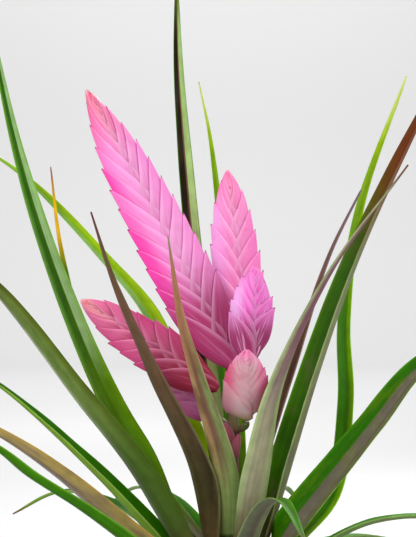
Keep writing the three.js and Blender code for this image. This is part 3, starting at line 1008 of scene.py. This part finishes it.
    def build(self) -> bpy.types.Object:
        """Makes the paddle and returns it."""
        count = 2 * self.pairs
        pitch = (self.length - self.bract_length - self.FIRST_BRACT) / (count - 1)
        count += int((self.bract_length - self.YOUNGEST) / pitch)
        bracts = (
            self.bract(1 if k % 2 == 0 else -1, self.FIRST_BRACT + pitch * k, k) for k in range(count))
        mesh = gather([self.core(), *bracts])
        mesh.transform(self.stand())
        return piece(f"{self.name}_bracts", mesh, self.skin, self.name, Slot.BRACT)


@dataclass
class FlowerStalk:
    """The stalk, its pointed scales and a branch to the foot of each paddle.

    Each scale has its azimuth and height. The outline gives, for shares of a scale's length,
    how far it stands off the stalk's middle and its breadth as a share of the greatest.
    """

    paddles: list[Paddle]
    skin: Fibre
    scale_skin: BractSkin
    route: tuple[Point, ...] = (
        (0, 0, 48.4), (0.5, 0, 62), (1, -0.5, 76), (1.6, -0.5, 92), (2, -0.5, 103))
    radii: tuple[float, float] = (3.0, 2.1)
    sides: tuple[int, int] = (24, 14)
    rows: tuple[int, int] = (40, 18)
    branch_radius: float = 1.5
    branch_straight: float = 2.0
    joint_gap: float = 0.3
    scales: tuple[tuple[float, float], ...] = (
        (255, 54), (75, 57), (190, 62), (310, 65), (120, 68), (235, 70))
    scale_outline: tuple[Point, ...] = ((0, 1.6, 0.8), (0.4, 3.2, 1), (0.75, 4, 0.62), (1, 4.9, 0.05))
    scale_length: float = 16.0
    scale_half: float = 4.4
    scale_shell: float = 0.3
    scale_grid: tuple[int, int] = (12, 16)

    def build(self) -> list[bpy.types.Object]:
        """Makes the stem with its branches as one piece and the scales as another.

        Returns:
            Both pieces.
        """
        line = Route([Vector(point) for point in self.route])
        stems = [tube(line, lambda s: lerp(*self.radii, s), self.sides[0], self.rows[0])]
        for paddle in self.paddles:
            axis = (Vector(paddle.tip) - Vector(paddle.base)).normalized()
            end = Vector(paddle.base) - axis * self.joint_gap
            twig = Route([line.at(paddle.foot), end - axis * self.branch_straight, end])
            stems.append(tube(twig, lambda s: self.branch_radius, self.sides[1], self.rows[1]))
        scales = [self.scale(line, azimuth, height) for azimuth, height in self.scales]
        return [
            piece("flower_stalk_stem", gather(stems), self.skin, "flower_stalk", Slot.STALK),
            piece("flower_stalk_scales", gather(scales), self.scale_skin, "flower_stalk", Slot.STALK),
        ]

    def scale(self, line: Route, azimuth: float, height: float) -> bmesh.types.BMesh:
        """Makes a small pointed scale that clasps the stalk and leans off towards its tip.

        Args:
            line: The stalk's middle line.
            azimuth: The side of the stalk that the scale stands on, in degrees.
            height: Height of its foot.

        Returns:
            The shell, in its place.
        """
        bottom, top = self.route[0][2], self.route[-1][2]
        foot = line.at((height - bottom) / (top - bottom))

        def place(u: float, t: float) -> Vector:
            """Returns the point at a share across the scale and a share up it."""
            rows = self.scale_outline
            k = max(j for j in range(len(rows) - 1) if rows[j][0] <= t)
            share = (t - rows[k][0]) / (rows[k + 1][0] - rows[k][0])
            off, breadth = (lerp(rows[k][c], rows[k + 1][c], share) for c in (1, 2))
            turn = math.radians(azimuth) + (2.0 * u - 1.0) * breadth * self.scale_half / off
            return Vector((foot.x + off * math.cos(turn), foot.y + off * math.sin(turn),
                           height + self.scale_length * t))

        tags = {Paddle.TAG: lambda u, t: Vector((2.0 * u - 1.0, 0.4 + 0.4 * t, 0.0))}
        mesh = grid(*self.scale_grid, place, tags=tags)
        bmesh.ops.solidify(mesh, geom=mesh.faces, thickness=self.scale_shell)
        return mesh


@dataclass
class Crown:
    """The short woody stem with the wiry roots that hold the plant in the wild."""

    skin: Fibre
    sizes: CrownSizes = CROWN
    fibre_depth: float = 0.035
    fibre_waves: float = 4.0
    fibre_length: float = 14.0
    steps: int = 72
    side_cuts: int = 6
    sole: float = 1.0
    root_sides: int = 10
    root_rows: int = 30

    def build(self) -> bpy.types.Object:
        """Makes the crown and its roots as one piece."""
        parts = [self.stem(), *(self.root(k) for k in range(self.sizes.roots))]
        return piece("crown_bark", gather(parts), self.skin, "crown", Slot.BARK)

    def stem(self) -> bmesh.types.BMesh:
        """Spins the crown's outline and roughens all but its sole into upright fibres."""
        mesh = bmesh.new()
        points = [mesh.verts.new((radius, 0.0, height)) for radius, height in self.sizes.profile]
        lines = [mesh.edges.new(pair) for pair in zip(points, points[1:])]
        bmesh.ops.subdivide_edges(mesh, edges=lines[2:6], cuts=self.side_cuts)
        bmesh.ops.spin(
            mesh, geom=[*mesh.verts, *mesh.edges], cent=(0, 0, 0), axis=(0, 0, 1), dvec=(0, 0, 0),
            angle=2.0 * math.pi, steps=self.steps, use_merge=True)
        bmesh.ops.remove_doubles(mesh, verts=mesh.verts, dist=WELD)
        for vert in mesh.verts:
            angle = math.atan2(vert.co.y, vert.co.x)
            spot = Vector((math.cos(angle), math.sin(angle), 0.0)) * self.fibre_waves
            spot.z = vert.co.z / self.fibre_length
            if vert.co.z > self.sole:
                vert.co.xy *= 1.0 - self.fibre_depth * (0.5 + 0.5 * noise.noise(spot))
        return mesh

    def root(self, k: int) -> bmesh.types.BMesh:
        """Makes one wiry root that spreads from under the crown.

        Args:
            k: Number of the root, counted round the crown.

        Returns:
            The root's mesh, in its place.
        """
        sizes = self.sizes
        angle = 2.0 * math.pi * (k + sizes.root_scatter * math.sin(5.0 * k)) / sizes.roots
        bend = sizes.root_bend * math.sin(2.4 * k)
        tip = (sizes.root_reaches[k % 2], sizes.root_tip_height)
        stops = ((0.0, sizes.root_start), (bend / 2.0, sizes.root_middle), (bend, tip))
        line = Route([
            Vector((radius * math.cos(angle + turn), radius * math.sin(angle + turn), height))
            for turn, (radius, height) in stops
        ])
        return tube(
            line, lambda s: lerp(*sizes.root_radii, s) * (1.0 + sizes.root_knots * wobble(k, s, 8.0)),
            self.root_sides, self.root_rows)


@dataclass(frozen=True)
class Lamp:
    """A square soft lamp: where it hangs, what it looks at, its side and its power in watts."""

    name: str
    at: Point
    aim: Point
    size: float
    power: float

    def build(self) -> None:
        """Hangs the lamp."""
        data = bpy.data.lights.new(self.name, "AREA")
        data.size = self.size * MM
        data.energy = self.power
        made = bpy.data.objects.new(self.name, data)
        made.location = Vector(self.at) * MM
        made.rotation_euler = (Vector(self.aim) - Vector(self.at)).to_track_quat("-Z", "Y").to_euler()
        bpy.context.scene.collection.objects.link(made)


@dataclass
class Studio:
    """A pale sweep, soft lamps and a camera where the photograph was taken from."""

    camera_at: Point = (-9.24, -900.0, 149.7)
    camera_reach: tuple[float, float] = (0.01, 20.0)
    focal_pixels: float = 2143.0
    image_height: float = 537.0
    sensor: float = 36.0
    room_light: float = 0.5
    paper: Paper = Paper("Seamless paper, pale grey", "#dedede")
    sweep_near: float = -3200.0
    sweep_far: float = 2400.0
    sweep_wide: float = 6400.0
    sweep_bend: float = 400.0
    sweep_wall: float = 1800.0
    sweep_grid: tuple[int, int] = (2, 120)
    lamps: tuple[Lamp, ...] = (
        Lamp("key", (-420, -760, 800), (0, 0, 120), 420, 7.0),
        Lamp("fill", (760, -420, 420), (0, 0, 120), 500, 2.5),
        Lamp("back", (260, 420, 620), (0, 0, 140), 360, 4.0),
        Lamp("backdrop", (0, 1500, 1500), (0, 2800, 250), 700, 17.0),
        Lamp("glow", (-60, 1040, 500), (-60, 1040, 0), 200, 0.9),
    )

    def build(self) -> None:
        """Makes the sweep, the lamps and the camera."""
        scene = bpy.context.scene
        scene.view_settings.view_transform = "Standard"
        self.sweep()
        self.room(scene)
        for lamp in self.lamps:
            lamp.build()
        scene.camera = self.camera()

    def camera(self) -> bpy.types.Object:
        """Makes the camera, level and looking along +Y.

        Returns:
            The camera.
        """
        data = bpy.data.cameras.new("camera")
        data.sensor_width = self.sensor
        data.lens = self.focal_pixels * self.sensor / self.image_height
        data.clip_start, data.clip_end = self.camera_reach
        made = bpy.data.objects.new("camera", data)
        made.location = Vector(self.camera_at) * MM
        made.rotation_euler = (math.radians(90.0), 0.0, 0.0)
        bpy.context.scene.collection.objects.link(made)
        return made

    def room(self, scene: bpy.types.Scene) -> None:
        """Fills the room with even white light.

        Args:
            scene: The scene that gets it.
        """
        scene.world = bpy.data.worlds.new("room")
        scene.world.use_nodes = True
        light = scene.world.node_tree.nodes["Background"]
        light.inputs["Color"].default_value = linear("#ffffff")
        light.inputs["Strength"].default_value = self.room_light

    def sweep(self) -> None:
        """Makes a pale floor that curves up behind the plant, far enough to look at its back."""
        flat, bend = self.sweep_far - self.sweep_near, self.sweep_bend
        arc = bend * math.pi / 2.0

        def place(across: float, along: float) -> Vector:
            """Returns the point at a share across the paper and a share along it."""
            run = along * (flat + arc + self.sweep_wall)
            x = (across - 0.5) * self.sweep_wide
            if run <= flat:
                return Vector((x, self.sweep_near + run, 0.0))
            if run <= flat + arc:
                angle = (run - flat) / bend
                rise = bend * (1.0 - math.cos(angle))
                return Vector((x, self.sweep_far + bend * math.sin(angle), rise))
            return Vector((x, self.sweep_far + bend, bend + run - flat - arc))

        finished("sweep", grid(*self.sweep_grid, place), self.paper)


# Dry bark and roots scatter light dully, with dark threads between pale ones.
BARK = Fibre("Fibrous bark and dry root", "#4a3626", "#8d6f50", thread=0.7)
# The young stalk is smooth and green, and flushes brown in long soft patches.
STALK_SKIN = Fibre(
    "Stalk skin, green flushed brown", "#6d7440", "#7a4a44", thread=4.5, drawn=0.2,
    span=(0.42, 0.62), depth=0.2, roughness=0.5)

# A shaded leaf stays clean deep green, and is a little greyer with scales outside.
DEEP_GREEN = LeafSkin(
    "Leaf skin, deep green",
    inner=Side("#3a7a0a", "#2c6204", "#3f8410", "#7fae4c"),
    outer=Side("#5d7a3a", "#4a6a2a", "#6a8448", "#96ac74"))
# One flank of the tallest leaf is painted pale grey green as a sheen, where light catches its scales.
SHEEN_FLANK_GREEN = LeafSkin(
    "Leaf skin, dark green with a painted sheen on one flank",
    inner=Side("#8cac78", "#2a5a00", "#347004", "#4a8a0c", start=0.26, full=0.36, edge_share=0.4),
    outer=Side("#6a8448", "#4a6a2a", "#5d7a3a", "#96ac74"), streak="#5a7410", streak_share=0.2,
    lower="#4a7010", lower_span=(0.42, 0.3), lower_share=0.9, rim_share=0.45)
# Sun has browned the middle of this leaf; its nearly black flank is painted shade, and its pale flank is
# painted light.
SHADED_AND_LIT_FLANKS = LeafSkin(
    "Leaf skin, brown with painted shade and light on its flanks",
    inner=Side("#9cb878", "#6a4c3c", "#181404", "#4c7a04", start=0.02, full=0.2, edge_share=1.0),
    outer=Side("#5a6a3a", "#3a3a20", "#5a6a3a", "#86a45a"), streak_share=0.1, tip="#4c5a1a")
# Young leaves are thin and bright, and yellow towards their tips.
FRESH_GREEN = LeafSkin(
    "Leaf skin, fresh green",
    inner=Side("#6ea020", "#347004", "#3c7c04", "#94c850"),
    outer=Side("#5c9024", "#447c10", "#5c9024", "#9cc068"),
    streak_share=0.0, upper="#86a80c", upper_span=(0.5, 0.9), upper_share=0.8, tip="#c8d878",
    tip_start=0.8, slot=Slot.LEAF_BRIGHT)
# Light comes through this thin leaf, which looks yellow green.
YELLOW_GREEN = LeafSkin(
    "Leaf skin, yellow green",
    inner=Side("#98bc40", "#74a022", "#4c8410", "#a8cc6c"),
    outer=Side("#84a644", "#6c9030", "#84a644", "#b0c884"),
    streak_share=0.1, tip="#9ab84c", slot=Slot.LEAF_BRIGHT)
# This small leaf is dying back: yellow first, then brown.
YELLOW_TIPPED = LeafSkin(
    "Leaf skin, green with a yellow and brown tip",
    inner=Side("#5c8c1c", "#407c08", "#2c6400", "#84b044"),
    outer=Side("#648434", "#547424", "#648434", "#94ac6c"),
    streak_share=0.1, upper="#e0b400", upper_span=(0.72, 0.84), upper_share=1.0, tip="#8a5a44",
    slot=Slot.LEAF_BRIGHT)
# Low leaves are dark inside, and yellow green where their outer side turns up.
LOW_GREEN = LeafSkin(
    "Leaf skin, deep green over yellow green",
    inner=Side("#2c6a00", "#2a6000", "#347004", "#5a9420"),
    outer=Side("#649418", "#548018", "#749c2c", "#a4bc74"), streak_share=0.15)
# A leaf with few scales is the same green on both sides.
FOLD_GREEN = LeafSkin(
    "Leaf skin, green on both sides",
    inner=Side("#347404", "#2a5c00", "#3a7a04", "#74a440"),
    outer=Side("#2c5a04", "#347004", "#3a7a04", "#7ca454"), streak_share=0.1)
# Scales over a flush of red give the outer side a dull mauve.
GREEN_MAUVE = LeafSkin(
    "Leaf skin, green with a mauve outer side",
    inner=Side("#3c7c04", "#2c6200", "#3c7c04", "#6a9c2c"),
    outer=Side("#6c705c", "#6a6456", "#7a8460", "#a0b07c"), streak="#5a444c", streak_share=0.5,
    slot=Slot.LEAF_OLIVE)
# A keeled leaf shows a green flank beside a mauve one.
HALF_MAUVE = LeafSkin(
    "Leaf skin, green flank and mauve flank",
    inner=Side("#6e6a54", "#6c6658", "#2c6c00", "#4c8c10", start=0.3, full=0.42),
    outer=Side("#a0b878", "#98b06c", "#7a8460", "#a8c080"), streak="#8a9434", streak_share=0.2)
# Strong light has turned the upper part of this leaf red brown.
RED_TIPPED = LeafSkin(
    "Leaf skin, green turning red brown",
    inner=Side("#2c5a00", "#264a00", "#346404", "#5a8c1c"),
    outer=Side("#6c7448", "#68684c", "#7c8a60", "#a4b484"), streak="#6c545a", streak_share=0.4,
    upper="#6e3424", upper_span=(0.55, 0.82), upper_share=0.9, tip="#6a2c24")
# Scales lie thick on this leaf: grey olive, with a pale line along one margin.
GREY_OLIVE = LeafSkin(
    "Leaf skin, grey olive with a pale margin",
    inner=Side("#3f6a12", "#345a0c", "#3f6a12", "#7a9a4c"),
    outer=Side("#a8b890", "#6c8048", "#56662c", "#2e300c", start=0.35, full=0.8, edge_share=0.35),
    streak="#4c6030", streak_share=0.4, upper="#4a4418", upper_span=(0.6, 0.95), upper_share=0.5,
    lower="#3a5420", lower_span=(0.52, 0.3), lower_share=0.7,
    slot=Slot.LEAF_OLIVE)
# Dark olive below and brown above, with a lighter flank.
DARK_OLIVE = LeafSkin(
    "Leaf skin, dark olive",
    inner=Side("#3a5a1c", "#2c4a10", "#3a5a1c", "#6a8444"),
    outer=Side("#646048", "#403c24", "#1e1e08", "#8a8c64", start=0.1, full=0.9, edge_share=0.5),
    streak="#5c5038", streak_share=0.5, upper="#6c5444", upper_span=(0.1, 0.7), upper_share=0.9,
    tip="#6a4044", slot=Slot.LEAF_OLIVE)
# Thick scales and sun make this leaf beige, and its foot stays green.
BEIGE_GREEN = LeafSkin(
    "Leaf skin, beige turning green",
    inner=Side("#6a7c44", "#4a5c2c", "#6a7c44", "#96a474"),
    outer=Side("#a88c68", "#74584a", "#788858", "#b0a684", start=0.05, full=0.6),
    streak="#5c4038", streak_share=0.6, upper="#b08066", upper_span=(0.45, 0.8), upper_share=0.8,
    foot="#7c9058", foot_span=(0.35, 0.1), tip="#9a8a64", slot=Slot.LEAF_OLIVE)
# A purple flush runs up the middle between pale green margins.
PALE_PURPLE = LeafSkin(
    "Leaf skin, pale green with a purple upper part",
    inner=Side("#84b03c", "#78a030", "#84b03c", "#acc87c"),
    outer=Side("#a8b480", "#80706c", "#98ac74", "#bcc894", start=0.3, full=0.7, centre=-0.3),
    streak="#6a4050", streak_share=0.35, upper="#744858", upper_span=(0.38, 0.6), upper_share=0.75,
    lower="#a4a682", lower_span=(0.5, 0.25), lower_share=0.6, rim="#a6ba88", rim_share=0.5,
    slot=Slot.LEAF_OLIVE)
# A thin leaf in full sun, purple brown all over.
PURPLE_BROWN = LeafSkin(
    "Leaf skin, purple brown",
    inner=Side("#6a5044", "#5c4438", "#6a5044", "#8a7464"),
    outer=Side("#7c5860", "#6a4450", "#7c5860", "#948084"), streak_share=0.2, upper="#7c6c70",
    upper_share=0.6, tip="#6e6068", slot=Slot.LEAF_OLIVE)
# Old scales bleach to beige on the flank that faces up.
SUN_BEIGE = LeafSkin(
    "Leaf skin, mauve turning sun beige",
    inner=Side("#8a8448", "#7c7444", "#8a8448", "#b0a468"),
    outer=Side("#80706c", "#8e7e66", "#b09c68", "#c49c58", start=0.0, full=0.5, edge_share=0.6),
    streak="#74646c", streak_share=0.4, slot=Slot.LEAF_OLIVE)

LEAVES = [
    Leaf("leaf_back_tall", (108, 42),
         [(-4, 9, 62), (-13.4, 28, 136), (-20.5, 52, 211), (-22.8, 72, 244), (-23.8, 88, 282)],
         face=100, turn=-8, width=10.5, taper=0.55, skin=SHADED_AND_LIT_FLANKS),
    Leaf("leaf_back_thin", (62, 38),
         [(3, 14, 62), (-0.4, 38, 130), (-7.9, 66, 206), (-13.4, 80, 235)],
         face=95, width=11, taper=1.1, skin=FRESH_GREEN),
    Leaf("leaf_front_beige", (262, 38),
         [(-2, -14, 63.7), (-13.6, -28, 105), (-19.8, -40, 128), (-25, -58, 162)],
         face=262, width=13.5, taper=1.1, skin=BEIGE_GREEN),
    Leaf("leaf_right_thin", (10, 34),
         [(13.6, 5.8, 62), (30, 12.4, 115), (43, 25, 154), (57.9, 40, 184)],
         face=30, width=9, taper=0.8, skin=PURPLE_BROWN),
    Leaf("leaf_left_bright", (140, 32),
         [(-12, 15, 61), (-23, 30, 95), (-33.8, 44, 127), (-56.5, 60, 154.4), (-90.4, 76, 189.1),
          (-120.5, 90, 210)],
         face=118, width=15, taper=0.9, skin=YELLOW_GREEN),
    Leaf("leaf_front_left", (212, 29),
         [(-12.8, -12, 63.3), (-31.5, -22, 105), (-47, -38, 143), (-55.6, -52, 172)],
         face=232, width=17.5, taper=1.15, skin=DARK_OLIVE),
    Leaf("leaf_back_inner", (88, 28),
         [(1.5, 22.5, 58), (-3, 46, 92), (-6, 70, 116), (-8, 92, 126)],
         face=92, width=12, taper=0.5, skin=DEEP_GREEN),
    Leaf("leaf_front_right", (302, 28),
         [(12, -15, 64), (19.6, -22, 100), (41.3, -33, 149), (70.5, -46, 191)],
         face=296, turn=60, width=18, taper=1.05, skin=PALE_PURPLE),
    Leaf("leaf_right_tall", (357, 21),
         [(24, -1, 62.4), (38.4, 0, 110), (55.8, 2, 158), (94, 6, 240)],
         face=387, turn=8, width=16, taper=0.65, fold=1.2, skin=RED_TIPPED),
    Leaf("leaf_left_small", (139, 29),
         [(-33, 20, 60), (-50.4, 29, 91.5), (-65.4, 40.5, 123.6), (-75, 53, 159.3), (-80.5, 70, 195.6)],
         face=130, width=7.5, taper=0.9, skin=YELLOW_TIPPED),
    Leaf("leaf_left_tall", (184, 20),
         [(-35, 5, 61.8), (-53, 12, 92.5), (-77.6, 30, 150.8), (-95.4, 50, 206.7), (-113, 75, 285.5)],
         face=140, turn=-20, width=21, taper=1.1, fold=0.6, skin=SHEEN_FLANK_GREEN),
    Leaf("leaf_back_right", (58, 23),
         [(18, 22, 54), (32, 44, 90), (42, 62, 114), (45, 74, 124)],
         face=50, width=11, taper=0.9, skin=DEEP_GREEN),
    Leaf("leaf_back_left", (116, 18),
         [(-17, 26, 42), (-29, 44, 50), (-41, 64, 51), (-54, 86, 42)],
         face=122, width=11, taper=0.9, skin=DEEP_GREEN),
    Leaf("leaf_right_outer", (328, 18),
         [(44.8, -14, 64.3), (60.2, -20, 85), (78.6, -28, 109), (109, -40, 125)],
         face=410, width=18.5, taper=0.5, fold=1, skin=HALF_MAUVE),
    Leaf("leaf_left_outer", (211, 16.5),
         [(-36.5, -12, 63.7), (-62, -17, 97), (-95.6, -22, 140.5), (-122, -30, 163)],
         face=244, width=13.8, taper=0.5, skin=GREY_OLIVE),
    Leaf("leaf_right_upright", (20, 14.5),
         [(27, 9, 32), (44.2, 17, 52), (51, 29, 91.3), (51, 42, 125.7), (58.6, 55, 176.2),
          (80.5, 68, 236.7)],
         face=55, turn=10, width=10.8, taper=0.75, fold=0.45, skin=FRESH_GREEN),
    Leaf("leaf_front_low", (277, 14),
         [(8, -26, 40), (14, -48, 55), (20, -72, 59), (28, -104, 46)],
         face=285, width=12, taper=0.8, skin=GREEN_MAUVE),
    Leaf("leaf_back_low", (76, 13.5),
         [(9.4, 34.4, 36), (18, 62, 47), (26, 92, 48), (36, 120, 36)],
         face=74, width=12, taper=0.8, skin=DEEP_GREEN),
    Leaf("leaf_left_low", (170, 13),
         [(-34.5, 6, 38), (-56.5, 9, 61.8), (-99.5, 16, 100), (-119, 20, 109.6)],
         face=160, width=15.5, taper=1.1, fold=1.1, skin=LOW_GREEN),
    Leaf("leaf_front_left_low", (251, 12.5),
         [(-20, -36, 34), (-32, -54, 42), (-46, -76, 40), (-60, -100, 22)],
         face=240, width=12, taper=0.8, skin=GREY_OLIVE),
    Leaf("leaf_right_low", (354, 11),
         [(40, -4, 34), (62, -5, 44), (90, -4, 44), (118, -2, 26)],
         face=355, width=12.5, taper=0.8, skin=DEEP_GREEN),
    Leaf("leaf_left_beige", (192, 11),
         [(-41, -12, 38), (-70.7, -22, 65), (-94.3, -29, 82), (-130, -38, 100)],
         face=240, width=17, taper=0.7, skin=SUN_BEIGE),
    Leaf("leaf_back_left_low", (140, 9),
         [(-30, 23, 32.8), (-50, 37.5, 46), (-74, 56, 50), (-98, 76, 38)],
         face=145, width=12, taper=0.8, skin=LOW_GREEN),
    Leaf("leaf_front_right_low", (308, 9.5),
         [(24, -30, 30), (38, -48, 36), (56, -68, 32), (76, -90, 10)],
         face=310, width=12, taper=0.8, skin=GREEN_MAUVE),
    Leaf("leaf_left_bottom", (218, 8.5),
         [(-38, -22, 34), (-60, -33, 52), (-80.3, -42, 66.4), (-92.4, -47, 77), (-124, -58, 98)],
         face=240, width=12.5, taper=0.7, skin=FOLD_GREEN),
    Leaf("leaf_back_right_low", (32, 8.5),
         [(30, 20, 26), (50, 33, 32), (74, 48, 28), (98, 62, 8)],
         face=32, width=12, taper=0.8, skin=DEEP_GREEN),
    Leaf("leaf_ground_front", (264, 7),
         [(-3, -36, 24), (-5, -58, 28), (-8, -84, 20), (-10, -108, 0.8)],
         face=266, width=11.5, taper=0.8, fold=0.45, skin=GREY_OLIVE),
    Leaf("leaf_ground_back", (104, 7),
         [(-9, 34, 22), (-15, 58, 28), (-22, 84, 21), (-28, 108, 0.8)],
         face=104, width=11.5, taper=0.8, fold=0.45, skin=DEEP_GREEN),
    Leaf("leaf_ground_left", (168, 7),
         [(-35, 6, 20), (-58, 11, 25), (-84, 16, 18), (-108, 20, 0.8)],
         face=168, width=11.5, taper=0.8, fold=0.45, skin=GREEN_MAUVE),
    Leaf("leaf_ground_right", (333, 7),
         [(31, -15, 20), (53, -25, 25), (78, -36, 18), (102, -46, 0.8)],
         face=334, width=11.5, taper=0.8, fold=0.45, skin=GREY_OLIVE),
]

# The oldest paddle: hot pink on its left, pale in the middle, lilac on its right.
MAIN_PINK = BractSkin("Bract skin, hot pink to pale", foot="#a82a62", foot_span=(0.42, 0.19))
# The paddle behind it is cooler and paler.
LILAC_PINK = BractSkin(
    "Bract skin, lilac pink", middle="#ff9cd0", left="#ffacec", right="#ff80cc", deep="#d8489c",
    point="#ff7cc0", heart="#f8a090", heart_share=0.2, foot="#9a3464", foot_span=(0.4, 0.05))
# Young loose bracts are orchid pink, with pale lilac streaks.
ORCHID = BractSkin(
    "Bract skin, pale lilac over deep pink", middle="#ff6cd0", left="#ffb4f4", right="#ff80dc",
    deep="#d850ac", overlap_shade_share=0.6, point="#f878cc", heart_share=0.0, foot="#9c3060",
    foot_span=(0.66, 0.3), margin="#ffc4f2", streak_share=0.75, tooth="#7c2c50")
# The youngest paddle is creamy in the middle and rose at its edges.
FRONT_PINK = BractSkin(
    "Bract skin, shaded pink with a creamy middle", middle="#ffe4e2", left="#f4608e", right="#f464a2",
    deep="#d86490", point="#ff90c4", heart_share=0.0, foot="#a89044", foot_span=(0.2, 0.02),
    margin="#ea7099", margin_share=0.5)
# The left paddle is deep pink, with strong painted shade that darkens it to crimson where its bracts
# overlap.
SHADED_PINK = BractSkin(
    "Bract skin, deep pink", middle="#e4709c", left="#de508c", right="#d44484", deep="#a02a4c",
    overlap_shade_share=0.75, point="#ec6a98", heart="#f0b494", heart_share=0.4, foot="#98223a",
    foot_span=(0.62, 0.2), margin="#f49cc4")
# The lowest paddle is plain rose.
LOW_PINK = BractSkin(
    "Bract skin, rose pink", middle="#ee84c4", left="#dc5c9c", right="#e870b4", deep="#b84480",
    point="#f070a0", heart_share=0.2, foot="#a83460", foot_span=(0.4, 0.05))
# Scales on the stalk are small dull rose bracts.
SCALE_SKIN = BractSkin(
    "Scale skin, dull rose", middle="#d86a80", left="#c05874", right="#cc6c84", deep="#94405c",
    heart_share=0.0, point="#e07890", margin="#e8a0b0", tooth="#7c3448")

PADDLES = [
    Paddle(
        "paddle_main", 0.98, (2.3, -3.5, 106), (-59.8, -9, 224.2), 285, 13, 36, 11, MAIN_PINK,
        sweep=1.2),
    Paddle(
        "paddle_back", 0.9, (6.4, 6, 112), (-0.8, 12, 191.9), 262, 11.2, 30, 6, LILAC_PINK,
        sweep=1.5),
    Paddle(
        "paddle_right", 0.86, (7.5, -8, 108), (10.2, -12, 150.5), 268, 9.8, 22, 4, ORCHID,
        looseness=1.4, sweep=2.4, swing=3.5),
    Paddle(
        "paddle_front", 0.6, (6.5, -8, 86), (6.5, -34, 117), 270, 9.8, 22, 4, FRONT_PINK,
        swing=9.0),
    Paddle(
        "paddle_left", 0.8, (-3.5, -9.5, 98.5), (-62, -12, 136.9), 262, 10.6, 28, 6, SHADED_PINK,
        looseness=0.8, sweep=2.0),
    Paddle(
        "paddle_low", 0.55, (-4.5, 2, 86), (-33.7, 3, 105.5), 262, 6.5, 19, 3, LOW_PINK,
        looseness=0.6, sweep=2.6, swing=4.0),
]


def main() -> None:
    """Builds every sub-assembly, then the studio."""
    logging.basicConfig(level=logging.INFO, format="%(message)s")
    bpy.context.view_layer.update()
    Crown(BARK).build()
    for leaf in LEAVES:
        leaf.build()
    FlowerStalk(PADDLES, STALK_SKIN, SCALE_SKIN).build()
    for paddle in PADDLES:
        paddle.build()
    Studio().build()
    bpy.context.view_layer.update()


if __name__ == "__main__":
    main()
